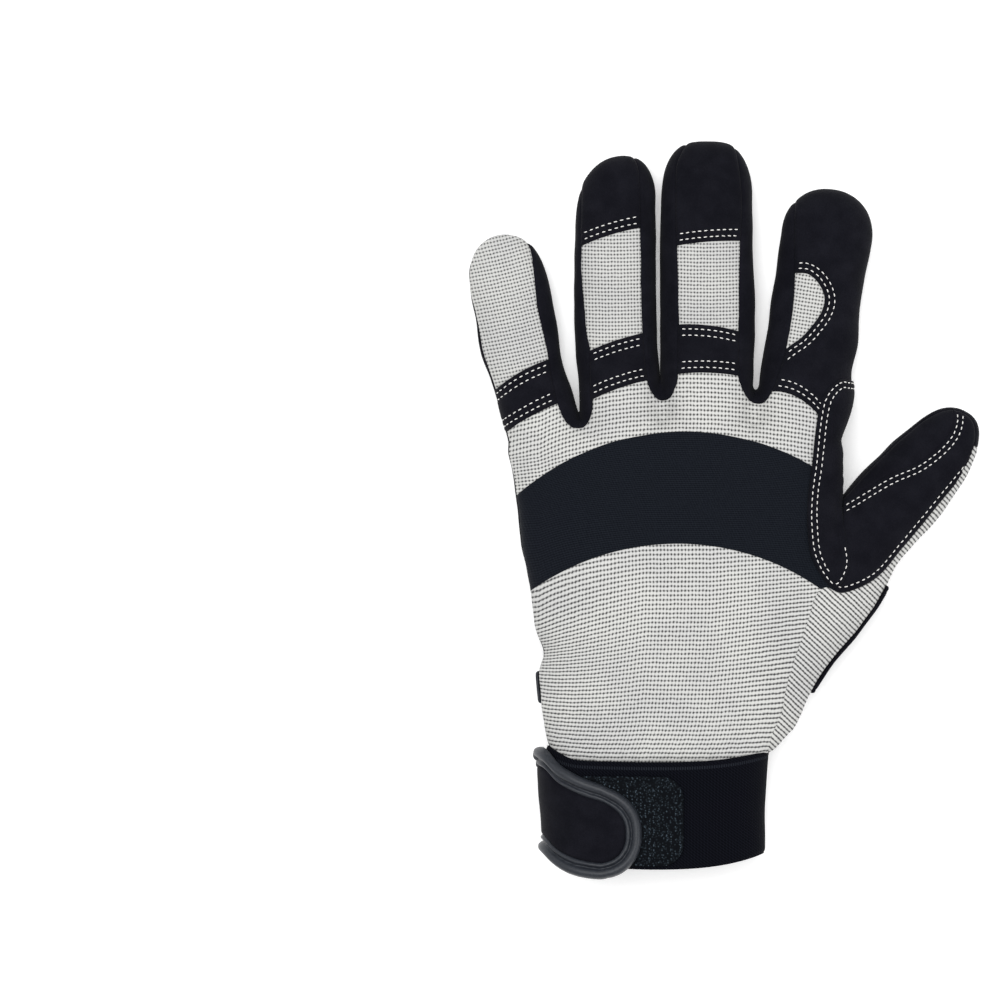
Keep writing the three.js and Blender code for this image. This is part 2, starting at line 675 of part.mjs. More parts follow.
// The cuts that part the shell into its panels.
function seamCuts() {
  const aboveSeam = [lowerBand, upperBand, gussetLine, thumbCrotch]
    .map((line) => cutAlong(line));
  aboveSeam[1] = aboveSeam[1].subtract(thumbFrontZone);
  const ridgeCut = cutAlong(thumbRidge).intersect(thumbFrontZone);
  const fingerCuts = Object.values(FINGERS).flatMap((finger) =>
    Object.values(finger.seams).map((seam) => cutAlong(crossLine(finger, seam)).intersect(backStrip(finger))),
  );
  const windowCut = cutAlong(windowLine).intersect(backStrip(FINGERS.index));
  const top = joined([...aboveSeam, ridgeCut, ...fingerCuts, windowCut]).subtract(allWebs).intersect(upper);
  const bottom = cutAlong(palmEdge).subtract(upper);
  const sides = betweenHeights(-SEAM_GAP / 2, SEAM_GAP / 2).subtract(allWebs).subtract(openSide);
  return joined([top, bottom, sides, ...webLines.map((line) => cutAlong(line))]);
}

const wristEdge = CUFF_END + SEAM_GAP;
const bodyTrim = prism([corner(-FAR, wristEdge), corner(FAR, wristEdge), corner(FAR, FAR), corner(-FAR, FAR)]);
const shell = skin(0).subtract(skin(SHELL_WALL)).intersect(bodyTrim).subtract(seamCuts());
const back = shell.intersect(upper).subtract(allWebs);
const front = shell.subtract(upper).subtract(allWebs);

const glove = new THREE.Group();
function addPiece(name, body, look) {
  const mesh = new THREE.Mesh(geometryOf(body), new THREE.MeshStandardMaterial(look));
  mesh.name = name;
  glove.add(mesh);
}
// The largest body of a cut: slivers that a seam leaves at a fold are trimmed away.
function largest(body) {
  const parts = body.decompose().sort((a, b) => b.volume() - a.volume());
  return parts[0];
}

// Panels of the hand
const gussetZone = rightOf(gussetLine);
const beforeThumb = back.subtract(gussetZone).subtract(thumbFrontZone);
const fingerRoots = joined(Object.values(FINGERS).map((f) => beyond(f, Object.values(f.seams)[0])));
addPiece("palm_panel", largest(front.subtract(rightOf(palmEdge))), BLACK_LEATHER);
addPiece("back_panel", largest(beforeThumb.intersect(below(lowerBand))), GREY_CLOTH);
addPiece("knuckle_band",
  largest(beforeThumb.subtract(below(lowerBand)).intersect(below(upperBand))), BAND_CLOTH);
addPiece("knuckle_panel",
  largest(beforeThumb.subtract(below(upperBand)).subtract(fingerRoots)), GREY_CLOTH);
addPiece("thumb_gusset",
  largest(shell.intersect(upper).intersect(gussetZone).add(shell.subtract(upper).intersect(rightOf(palmEdge)))),
  GREY_CLOTH);

// Panels of the thumb's face
const thumbFront = back.intersect(thumbFrontZone);
const besideRidge = prism([...thumbRidge, corner(FAR, FAR), corner(FAR, -FAR), corner(0, -FAR)]);
addPiece("thumb_inner_panel", largest(thumbFront.subtract(besideRidge)), BLACK_LEATHER);
addPiece("thumb_outer_panel", largest(thumbFront.intersect(besideRidge)), BLACK_LEATHER);

// Panels of the fingers' backs
const nameOf = { bar: "knuckle_bar", back: "back_panel", cap: "tip_cap", tipPiece: "back_panel" };
const lookOf = { bar: BLACK_LEATHER, back: GREY_CLOTH, cap: BLACK_LEATHER, tipPiece: BLACK_LEATHER };
const windowZone = prism(windowLine).intersect(backStrip(FINGERS.index));
for (const [finger, sizes] of Object.entries(FINGERS)) {
  const seams = Object.entries(sizes.seams);
  seams.forEach(([seam, place], i) => {
    let panel = back.subtract(thumbFrontZone).intersect(beyond(sizes, place));
    if (i + 1 < seams.length) panel = panel.subtract(beyond(sizes, seams[i + 1][1]));
    if (finger === "index") {
      addPiece("index_window", largest(panel.intersect(windowZone)), GREY_CLOTH);
      panel = panel.subtract(windowZone);
    }
    addPiece(`${finger}_${nameOf[seam]}`, largest(panel), lookOf[seam]);
  });
}

// The side strips that join two fingers round their crotch
WEBS.forEach(({ left, right }, i) => {
  addPiece(`fourchette_${left}_${right}`, largest(shell.intersect(webs[i])), BLACK_LEATHER);
});

// Patches sewn on the outside of the shell: a layer that follows it at a small clearance
function patch(outline, thickness, half) {
  const layer = skin(-SEAM_GAP - thickness).subtract(skin(-SEAM_GAP)).intersect(bodyTrim);
  const zone = prism(smoothLine(outline.map(onHand), 1, true)).intersect(slabAbove(0));
  return largest((half === "upper" ? layer.intersect(upper) : layer.subtract(upper)).intersect(zone));
}
addPiece("side_patch", patch(SIDE_PATCH, PATCH_THICKNESS, "upper"), BLACK_LEATHER);
addPiece("palm_pad", patch(PALM_PAD, PAD_THICKNESS, "lower"), BLACK_LEATHER);
addPiece("heel_patch", patch(HEEL_PATCH, PATCH_THICKNESS, "lower"), BLACK_LEATHER);
addPiece("vent_piping", patch(VENT_BINDING, VENT_CORD, "lower"), PIPING);

// The cuff, its loop patch, the tab and the piping round the tab
const cuffMiddle = CUFF_END - CUFF_LENGTH / 2;
const cuffLeft = CUFF_CENTRE - CUFF_WIDTH / 2;
addPiece("cuff_band", cuffBody(0).subtract(cuffBody(CUFF_WALL, 1)), ELASTIC);

// A strip with a rounded end, seen from above.
function stripOutline(width, radius, from, to) {
  const half = width / 2;
  const shape = new THREE.Shape();
  shape.moveTo(from, cuffMiddle - half);
  shape.lineTo(to - radius, cuffMiddle - half);
  shape.absarc(to - radius, cuffMiddle - half + radius, radius, -Math.PI / 2, 0, false);
  shape.absarc(to - radius, cuffMiddle + half - radius, radius, 0, Math.PI / 2, false);
  shape.lineTo(from, cuffMiddle + half);
  return shape.getPoints(5);
}
function cuffLayer(from, thickness) {
  return cuffBody(-from - thickness, CUFF_OVERRUN)
    .subtract(cuffBody(-from, CUFF_OVERRUN + 1))
    .intersect(slabAbove(0));
}
const cuffUpper = slabAbove(CUFF_THICKNESS / 2 - FLOOR_SINK);
const loopEnd = cuffLeft + TAB_LENGTH + PIPING_WIDTH * 4;
addPiece("loop_patch",
  largest(cuffLayer(SEAM_GAP, LOOP_THICKNESS)
    .intersect(prism(stripOutline(LOOP_WIDTH, LOOP_CORNER, loopEnd - LOOP_LENGTH, loopEnd)))
    .intersect(cuffUpper)),
  LOOP_PILE);

const tabHeight = 2 * SEAM_GAP + LOOP_THICKNESS;
const hinge = corner(cuffLeft, cuffMiddle - TAB_DROP);
function tabZone(width, end, lap) {
  const start = cuffLeft - PIPING_HEIGHT * 3;
  const turned = stripOutline(width, width / 2 - 1, start, end).map((p) =>
    p.clone().rotateAround(hinge, THREE.MathUtils.degToRad(TAB_TURN)));
  const under = [[start, -1], [cuffLeft + lap, -1], [cuffLeft + lap, 1], [start, 1]]
    .map(([x, side]) => corner(x, cuffMiddle + (side * width) / 2));
  return prism(turned).intersect(cuffUpper).add(prism(under).subtract(cuffUpper));
}
const tabFace = tabZone(TAB_WIDTH - 2 * PIPING_WIDTH, cuffLeft + TAB_LENGTH - PIPING_WIDTH, TAB_UNDERLAP);
const tabFaceClear = tabZone(
  TAB_WIDTH - 2 * PIPING_WIDTH + 2 * SEAM_GAP, cuffLeft + TAB_LENGTH - PIPING_WIDTH + SEAM_GAP, FAR);
const tabWhole = tabZone(TAB_WIDTH, cuffLeft + TAB_LENGTH, TAB_UNDERLAP);
addPiece("wrist_tab", largest(cuffLayer(tabHeight, TAB_THICKNESS).intersect(tabFace)), BLACK_LEATHER);
addPiece("tab_piping",
  largest(cuffLayer(tabHeight, PIPING_HEIGHT).intersect(tabWhole).subtract(tabFaceClear)), PIPING);

// The origin is the middle of the whole glove, on the surface that it lies on.
const extent = new THREE.Box3().setFromObject(glove);
const middle = extent.getCenter(new THREE.Vector3());
glove.position.set(-middle.x, -middle.y, 0);

export default glove;
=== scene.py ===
"""A left-hand work glove, palm down: knitted back, suede palm and fingertips, elastic cuff with a tab.

Shapes are worked out in the glove's own drawing: millimetres, X to the thumb, Y to the fingertips, Z up from
the table, with the seam at the wrist on Y = 0. They become metres in the frame when a piece is made.
"""

import math

import bpy
import numpy as np
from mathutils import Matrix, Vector, noise


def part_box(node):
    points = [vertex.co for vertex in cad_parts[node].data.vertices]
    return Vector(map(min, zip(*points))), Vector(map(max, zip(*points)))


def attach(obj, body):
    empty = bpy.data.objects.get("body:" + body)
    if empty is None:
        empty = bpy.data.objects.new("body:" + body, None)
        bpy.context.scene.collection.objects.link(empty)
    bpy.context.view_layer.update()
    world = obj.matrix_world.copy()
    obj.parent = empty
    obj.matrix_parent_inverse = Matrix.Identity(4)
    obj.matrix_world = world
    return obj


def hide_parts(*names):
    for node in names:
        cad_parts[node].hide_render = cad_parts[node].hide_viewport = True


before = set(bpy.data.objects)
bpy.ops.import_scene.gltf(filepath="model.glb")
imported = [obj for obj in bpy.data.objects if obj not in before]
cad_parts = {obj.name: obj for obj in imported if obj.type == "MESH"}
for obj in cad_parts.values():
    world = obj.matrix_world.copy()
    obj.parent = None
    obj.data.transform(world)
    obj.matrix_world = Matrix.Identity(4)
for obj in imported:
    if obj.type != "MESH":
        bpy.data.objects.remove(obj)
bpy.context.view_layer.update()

MM = 0.001
CELL = 1.0  # spacing of the lattice that the skin is drawn on
LATTICE_ENDS = ((-72, -4, -2), (104, 213, 38))  # low and high corner of that lattice
SHELL_WALL = 1.3
LEAST_WALL = 0.3
TABLE_GAP = 0.02  # nothing comes nearer to the table than this
FINGER_REACH = 17.0  # how far from its middle line a finger's panels may lie
PALM_LIFT = 1.9  # the palm stands on its pad
FLOOR_SINK = 0.8  # how much of each rounded underside is pressed flat
FLOOR_RAMP = 11.0  # in this length a digit comes down from the palm's lift to the table
THUMB_RAMP_START = 6.0
HAND_LENGTH = 123.0
HAND_BLEND, THUMB_BLEND, FLOOR_BLEND = 3.0, 2.6, 1.6  # widths in which two forms run into one
WRIST_END = -2.5  # where the skin is closed off
WRIST_OPENING = 0.5  # where it is cut open again
STRIP_BOTTOM = 5.2  # height of the lower edge of the side strips
STITCH_PULL, STITCH_PULL_WIDTH = 0.2, 0.42  # depth and width of the valley under a row of stitches
FINGER_ROWS = (1.7, 3.8)  # rows of stitches beside a seam across a finger, by their distance from it

# The glove's tables, in millimetres

# along, left edge, right edge, thickness
HAND_SECTIONS = np.array([
    (-4.0, -41.3, 25.4, 27.6),
    (2.5, -42.2, 27.6, 28.6),
    (12.3, -44.7, 36.3, 28.0),
    (30.7, -47.0, 43.5, 28.2),
    (54.1, -48.9, 48.9, 28.1),
    (73.8, -52.4, 52.9, 27.5),
    (93.5, -54.8, 53.2, 25.8),
    (107.0, -57.3, 53.5, 23.6),
    (116.0, -58.0, 55.2, 21.5),
]).T
HAND_END = (104.0, 13.0)  # where the hand starts to close, and in what length
SIDE_FOLD = dict(along=39.5, depth=2.2, reach=4.5)  # the fold at the little finger's side

# shares of the finger: along, thickness, and how much of the palm's lift is left
FINGER_SECTIONS = np.array([
    (-0.34, 0.90, 3.0),
    (-0.12, 1.16, 1.0),
    (0.06, 1.12, 1.0),
    (0.24, 1.04, 0.0),
    (0.70, 0.98, 0.0),
    (1.00, 0.96, 0.0),
]).T
THUMB_SECTIONS = np.array([
    (-0.80, 0.90, 3.0),
    (-0.60, 1.20, 1.0),
    (-0.20, 1.16, 1.0),
    (0.00, 1.10, 1.0),
    (0.20, 1.04, 0.4),
    (0.42, 1.00, 0.0),
    (0.60, 0.96, 0.0),
    (0.74, 0.90, 0.0),
    (1.00, 0.88, 0.0),
]).T

# root is the middle of the digit's foot; lean is in degrees to the thumb; tip is the length in which the
# digit closes, skew slants that end, and corner is its squareness; each row of sides is along, left edge,
# right edge; each seam across the back has its place along, its rise and its arch
DIGITS = {
    "little": dict(root=(-46.4, 118.1), lean=-14.0, length=62.0, width=26.0, thickness=17.0,
                   tip=20.0, skew=0.05, corner=2.3, seams=((0.3, 5.7, 1.0), (15.0, 5.7, 1.6)),
                   sides=((-21, -9.5, 9.5), (-8, -12.4, 12.0), (4, -12.6, 12.0), (15, -13.1, 11.2),
                          (25, -13.9, 11.8), (37, -13.0, 12.9), (46, -13.1, 13.2), (62, -13.1, 13.2))),
    "ring": dict(root=(-20.1, 123.0), lean=-0.8, length=81.5, width=27.2, thickness=18.0,
                 tip=15.5, skew=0.2, corner=2.1, seams=((2.9, 8.7, 1.4), (19.5, 8.2, 1.1), (54.8, 7.1, 1.1)),
                 sides=((-28, -10, 10), (-8, -13.0, 12.6), (6, -13.3, 13.2), (18, -14.1, 12.7),
                        (40, -14.2, 12.5), (56, -13.8, 12.5), (66, -13.0, 12.7), (83, -13.0, 12.7))),
    "middle": dict(root=(9.0, 124.0), lean=0.0, length=85.5, width=30.2, thickness=19.0,
                   tip=22.5, skew=0.0, corner=2.9,
                   seams=((6.8, -0.9, 1.5), (22.5, -3.0, 1.8), (51.0, 2.4, 0.9)),
                   sides=((-29, -11, 11), (-8, -13.6, 14.3), (6, -15.0, 15.2), (16, -15.2, 15.6),
                          (30, -15.2, 16.0), (46, -15.2, 15.2), (62, -14.9, 15.0), (85, -14.7, 14.9))),
    "index": dict(root=(40.0, 122.0), lean=8.5, length=72.0, width=29.4, thickness=18.5,
                  tip=15.5, skew=0.0, corner=2.2, seams=((-5.9, -13.5, 7.2),),
                  sides=((-25, -11, 11), (-8, -13.6, 14.5), (6, -14.0, 16.2), (12, -14.1, 15.2),
                         (22, -13.8, 15.9), (34, -14.1, 15.1), (44, -13.9, 15.0), (56, -14.2, 15.5),
                         (72, -14.0, 15.5))),
    "thumb": dict(root=(56.0, 66.1), lean=35.0, length=66.5, width=27.6, thickness=20.5,
                  tip=23.0, skew=0.1, corner=2.3,
                  sides=((-53, -10, 14.5), (-41, -16, 12.7), (-29, -18, 12.4), (-12, -18, 13.8),
                         (2, -17.5, 13.5), (12, -16.8, 12.0), (20, -15.9, 13.0), (29, -14.9, 14.4),
                         (40, -13.0, 14.8), (50, -11.2, 14.6), (66, -10.2, 13.6))),
}
FINGERS = ("little", "ring", "middle", "index")

# bottoms of the webs between the fingers, and the outline of the side strips round each, seen from above
WEBS = {
    "little_ring": ((-33.9, 114.3), "little", "ring"),
    "ring_middle": ((-6.3, 127.2), "ring", "middle"),
    "middle_index": ((26.3, 125.0), "middle", "index"),
}
SIDE_STRIPS = {
    "little_ring": [(-58.0, 216.0), (-53.3, 183.0), (-50.0, 174.3), (-49.0, 168.0), (-47.7, 155.3),
                    (-45.7, 146.0), (-44.0, 138.3), (-43.3, 132.0), (-41.7, 124.3), (-39.7, 118.7),
                    (-37.0, 115.0), (-34.0, 114.0), (-31.2, 115.3), (-29.5, 120.3), (-29.8, 127.3),
                    (-30.0, 139.0), (-31.3, 146.0), (-32.2, 155.3), (-33.0, 164.7), (-33.0, 174.0),
                    (-32.6, 187.0), (-32.0, 200.0), (-31.0, 216.0)],
    "ring_middle": [(-22.0, 218.0), (-15.7, 204.7), (-13.9, 198.0), (-13.3, 176.7), (-12.4, 144.7),
                    (-11.5, 132.7), (-10.0, 127.0), (-7.8, 123.8), (-5.6, 123.0), (-3.4, 124.2),
                    (-2.0, 127.2), (-1.0, 131.0), (-0.4, 147.7), (-1.0, 173.0), (-1.2, 198.0),
                    (1.0, 206.3), (6.0, 218.0)],
    "middle_index": [(14.0, 220.0), (18.5, 206.0), (20.3, 192.7), (20.0, 175.3), (19.4, 145.7),
                     (19.2, 133.0), (20.4, 127.6), (23.0, 123.4), (26.0, 122.0), (28.6, 123.2),
                     (30.2, 125.6), (31.8, 128.6), (35.0, 138.7), (37.0, 149.0), (38.3, 165.0),
                     (38.7, 188.0), (41.0, 193.0), (46.0, 206.0)],
}
WEB_REACH, WEB_DEPTH, WEB_THICKNESS, WEB_HEIGHT = 1.0, 13.0, 12.0, 10.4

# height of the seam between back and palm: along the hand, height
SIDE_SEAM = np.array([(-50, 15.1), (61, 15.1), (96, 14.6), (123, 11.3), (148, 8.9), (270, 8.6)], float).T

# the two arcs of the knuckle band: middle, crown, radius
LOWER_ARC = (-1.2, 75.5, 83.1)
UPPER_ARC = (1.4, 112.7, 84.0)

# seams as lines or closed outlines, seen from above; those on the thumb, its ridge and the index window
# are measured across and along their digit
GUSSET_ON_HAND = [(29.7, -24.6), (30.0, 6.2), (33.3, 19.8), (37.4, 35.3), (41.5, 47.7), (47.3, 60.6)]
GUSSET_ON_THUMB = [(2.4, -7.0), (8.8, 3.8), (10.2, 16.0), (11.2, 26.0), (11.9, 34.9), (12.5, 43.0),
                   (13.1, 49.5), (13.4, 55.5), (12.3, 60.0), (10.8, 63.5), (9.4, 66.5), (8.6, 70.0)]
PALM_EDGE_ON_HAND = [(8.2, -24.6), (10.3, 6.2), (15.7, 18.3), (23.0, 35.7), (36.9, 50.6), (45.0, 60.3)]
PALM_EDGE_ON_THUMB = [(-5.0, -8.0), (-3.6, 10.6), (-2.1, 29.3), (-1.7, 42.0), (0.5, 50.0), (5.5, 55.5),
                      (11.5, 58.5), (20.0, 60.0)]
THUMB_CROTCH = [(62.0, 110.7), (55.4, 95.3), (53.8, 84.9), (52.9, 71.3), (50.8, 59.8)]
THUMB_RIDGE = [(-24.0, 0.0), (-15.3, 16.1), (-11.2, 25.4), (-7.0, 34.5), (-2.1, 42.5), (0.2, 48.9),
               (1.1, 53.1), (1.3, 57.3), (0.2, 61.2), (-2.2, 64.5), (-8.0, 72.0)]
INDEX_WINDOW = [(-17.6, 42.4), (-8.1, 42.9), (-3.9, 43.1), (0.0, 40.6), (2.7, 36.3), (2.6, 31.9),
                (0.6, 27.4), (-2.9, 22.0), (-6.9, 18.3), (-17.6, 7.3)]
SIDE_PATCH = [(70.2, 129.6), (57.0, 129.8), (52.4, 129.8), (47.6, 125.0), (45.4, 116.9), (43.6, 101.0),
              (42.2, 90.0), (42.1, 80.0), (43.6, 70.5), (48.4, 62.6), (51.6, 60.8), (54.4, 63.6),
              (56.2, 69.0), (55.4, 76.0), (54.2, 84.9), (55.0, 95.9), (70.2, 116.9)]
PALM_PAD = [(29.8, 80.6), (25.0, 70.4), (20.1, 58.1), (14.0, 45.8), (7.3, 35.4), (0.8, 27.6), (-7.0, 22.9),
            (-15.2, 23.4), (-24.6, 28.9), (-32.6, 38.3), (-38.6, 46.7), (-42.7, 55.6), (-45.6, 66.4),
            (-47.4, 78.7), (-48.6, 90.8), (-49.7, 103.3), (-48.6, 110.7), (-45.0, 112.5), (-39.5, 106.4),
            (-33.3, 104.5), (-27.5, 107.0), (-23.4, 113.8), (-17.5, 119.9), (-12.9, 117.5), (-8.8, 113.8),
            (-2.7, 114.4), (7.0, 121.8), (12.6, 119.6), (16.8, 113.2), (23.4, 111.2), (28.5, 113.4),
            (32.5, 119.6), (38.6, 123.6), (43.3, 121.8), (45.9, 110.7), (47.0, 100.9), (45.9, 95.3),
            (41.0, 93.1), (18.3, 92.7), (3.5, 91.9), (-11.0, 90.0), (-22.1, 86.8), (-29.7, 80.4),
            (-32.9, 73.8), (-32.2, 64.6), (-27.5, 53.5), (-19.9, 45.3), (-13.5, 43.3), (-8.2, 45.8),
            (-5.3, 54.1), (-4.1, 65.2), (-7.0, 70.4), (-15.2, 72.6), (-19.7, 75.3), (-19.3, 79.0),
            (-15.2, 82.2), (-5.9, 85.1), (7.0, 86.6), (18.7, 86.1), (27.5, 83.9)]
HEEL_PATCH = [(81.9, 18.5), (41.0, 26.7), (36.2, 30.8), (29.7, 35.9), (26.0, 37.1), (33.9, 46.2),
              (43.9, 57.8), (45.6, 60.5), (47.4, 56.8), (50.4, 56.1), (55.0, 58.6), (61.5, 61.6),
              (70.2, 61.4), (81.9, 59.4)]
VENT_BINDING = [(-30.7, 17.2), (-35.1, 22.9), (-40.4, 26.0), (-43.8, 24.0), (-46.5, 22.2), (-58.5, 21.4),
                (-58.5, 33.4), (-48.0, 33.2), (-38.6, 30.8), (-32.8, 26.1), (-28.1, 19.1)]

# the side patch's rows of stitches show over top and left of a line of their own, the outer row also
# under low
OPEN_ROWS = dict(top=121.0, low=75.0, outer=50.0, inner=49.5)

# the cuff: its ends, middle, width and height, and its squareness
CUFF = dict(low=-29.5, high=3.5, middle=-7.5, width=72.1, height=32.9, corner=2.5, wall=2.2)
# how far its edges bend away from straight ones, and how much narrower it is at its lower end
CUFF_BENDS = dict(right_lift=2.6, left_lift=4.0, sag=2.3, sag_loss=1.3, right_spread=1.0, left_spread=2.0,
                  taper=0.012)
LOOP = dict(right=0.6, length=34.0, middle=-16.4, width=29.4, corner=7.5, raise_=0.3, thick=0.9)
TAB = dict(length=30.5, width=30.5, underlap=16.0, raise_=1.4, thick=1.8, binding=3.4, binding_height=3.0,
           fold=1.9)
# the tab's middle line, from where it comes round the side to its end
TAB_LINE = np.array([(-46.7, -8.3), (-43.5, -10.1), (-40.0, -14.3), (-34.7, -17.6), (-29.0, -19.4),
                     (-24.0, -20.2), (-13.0, -20.6), (30.0, -20.6)]).T

TAB_WIDENING = dict(share=0.1, start=-24.0, length=12.0)  # the tab is wider where it comes round
HEM = 1.4  # from the cuff's upper edge to the row of its hem
KNIT_COLUMN, KNIT_ROW = 1.17, 1.5

low_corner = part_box("cuff_band")[0]
ORIGIN = np.array(low_corner) - MM * np.array([CUFF["middle"] - CUFF["width"] / 2, CUFF["low"], 0.0])


# Curves and distances

def eased(at, places, values):
    """A smooth curve through a table's values."""
    slopes = np.gradient(values, places)
    at = np.clip(at, places[0], places[-1])
    i = np.clip(np.searchsorted(places, at) - 1, 0, len(places) - 2)
    gap = places[i + 1] - places[i]
    t = (at - places[i]) / gap
    start = (1 + 2 * t) * (1 - t) ** 2 * values[i] + t * (1 - t) ** 2 * gap * slopes[i]
    return start + t * t * (3 - 2 * t) * values[i + 1] - t * t * (1 - t) * gap * slopes[i + 1]


def smooth_line(points, steps=4, closed=False):
    """A Catmull-Rom line through points."""
    p = np.array(points, float)
    p = np.vstack([p[-1], p, p[0], p[1]]) if closed else np.vstack([2 * p[0] - p[1], p, 2 * p[-1] - p[-2]])
    t = (np.arange(steps) / steps)[:, None]
    line = []
    for a, b, c, d in zip(p[:-3], p[1:-2], p[2:-1], p[3:]):
        line.append(b + 0.5 * t * (c - a + t * (2 * a - 5 * b + 4 * c - d + t * (3 * (b - c) + d - a))))
    return np.vstack(line if closed else line + [p[-2:-1]])


def inside(points, outline):
    """How far inside a closed outline each point lies, seen from above; less than nothing outside."""
    x, y = points[:, 0], points[:, 1]
    nearest = np.full(len(points), 1e9)
    within = np.zeros(len(points), bool)
    for (ax, ay), (bx, by) in zip(outline, np.roll(outline, -1, axis=0)):
        ex, ey = bx - ax, by - ay
        t = np.clip(((x - ax) * ex + (y - ay) * ey) / max(ex * ex + ey * ey, 1e-9), 0, 1)
        nearest = np.minimum(nearest, (x - ax - t * ex) ** 2 + (y - ay - t * ey) ** 2)
        if ay != by:
            crosses = ((ay > y) != (by > y)) & (x < ex * (y - ay) / (by - ay) + ax)
            within ^= crosses
    return np.where(within, 1, -1) * np.sqrt(nearest)


def smooth_least(a, b, width):
    h = np.clip(0.5 + 0.5 * (b - a) / width, 0, 1)
    return b + (a - b) * h - width * h * (1 - h)


def rounded(plan, height, corner=2.5, power=2.5):
    """Distance to a rounded form, from offsets and the half sizes that they are measured against."""
    radius = np.maximum(np.sqrt(height[0] ** 2 + sum(o ** 2 for o, _ in plan)), 1e-3)
    flat = sum(np.abs(o / h) ** corner for o, h in plan) ** (1 / corner)
    scaled = (flat ** power + np.abs(height[0] / height[1]) ** power) ** (1 / power)
    return radius * (1 - 1 / np.maximum(scaled, 1e-6))


def on_digit(name, points):
    """Places on the drawing from places across and along a digit."""
    digit = DIGITS[name]
    lean = math.radians(digit["lean"])
    p = np.array(points, float).reshape(-1, 2)
    turn = np.array([[math.cos(lean), -math.sin(lean)], [math.sin(lean), math.cos(lean)]])
    return np.array(digit["root"]) + p @ turn


def in_digit(name, points):
    """The other way round: places across and along a digit."""
    digit = DIGITS[name]
    lean = math.radians(digit["lean"])
    dx, dy = points[:, 0] - digit["root"][0], points[:, 1] - digit["root"][1]
    return dx * math.cos(lean) - dy * math.sin(lean), dx * math.sin(lean) + dy * math.cos(lean)


# The form of the hand

def hand_distance(p):
    along, left, right, thick = HAND_SECTIONS
    y = p[:, 1]
    low, high = eased(y, along, left), eased(y, along, right)
    low = low + SIDE_FOLD["depth"] * np.exp(-((y - SIDE_FOLD["along"]) / SIDE_FOLD["reach"]) ** 2)
    half = eased(y, along, thick) / 2
    middle = PALM_LIFT - FLOOR_SINK + half
    beyond = np.maximum(y - HAND_END[0], 0)
    body = rounded([(p[:, 0] - (low + high) / 2, (high - low) / 2), (beyond, HAND_END[1])],
                   (p[:, 2] - middle, half))
    return over_floor(body, p[:, 2], np.full(len(p), PALM_LIFT))


def digit_distance(p, name):
    digit = DIGITS[name]
    shares, thickness, lift = THUMB_SECTIONS if name == "thumb" else FINGER_SECTIONS
    places, left, right = np.array(digit["sides"]).T
    across, along = in_digit(name, p)
    low, high = eased(along, places, left), eased(along, places, right)
    offset = across - (low + high) / 2
    thick = eased(along / digit["length"], shares, thickness) * digit["thickness"] / 2
    height = thick - FLOOR_SINK + eased(along / digit["length"], shares, lift) * PALM_LIFT
    beyond = np.maximum(along - digit["skew"] * offset - digit["length"] + digit["tip"], 0)
    body = rounded([(offset, (high - low) / 2), (beyond, digit["tip"])], (p[:, 2] - height, thick),
                   digit["corner"], 2.3)
    body = np.maximum(body, shares[0] * digit["length"] - along)
    start = along - THUMB_RAMP_START if name == "thumb" else p[:, 1] - HAND_LENGTH
    floor = PALM_LIFT * (1 - np.clip(start / FLOOR_RAMP, 0, 1))
    return over_floor(body, p[:, 2], floor)


def over_floor(body, height, floor):
    return -smooth_least(-body, height - floor, FLOOR_BLEND)


def web_distance(p, web):
    bottom, left, right = WEBS[web]
    way = np.array(DIGITS[right]["root"]) - np.array(DIGITS[left]["root"])
    way /= np.linalg.norm(way)
    ahead = np.array([-way[1], way[0]])
    offset = p[:, :2] - np.array(bottom) - ahead * (WEB_REACH - WEB_DEPTH / 2)
    return rounded([(offset @ ahead, WEB_DEPTH / 2), (np.maximum(np.abs(offset @ way) - 6, 0), 5.0)],
                   (p[:, 2] - WEB_HEIGHT, WEB_THICKNESS / 2), 2.0, 2.0)


def glove_distance(p):
    hand = hand_distance(p)
    for web in WEBS:
        hand = smooth_least(hand, web_distance(p, web), HAND_BLEND)
    whole = smooth_least(hand, digit_distance(p, "thumb"), THUMB_BLEND)
    for name in FINGERS:
        whole = np.minimum(whole, smooth_least(hand, digit_distance(p, name), HAND_BLEND))
    return np.maximum(whole, WRIST_END - p[:, 1])


# The skin as a mesh

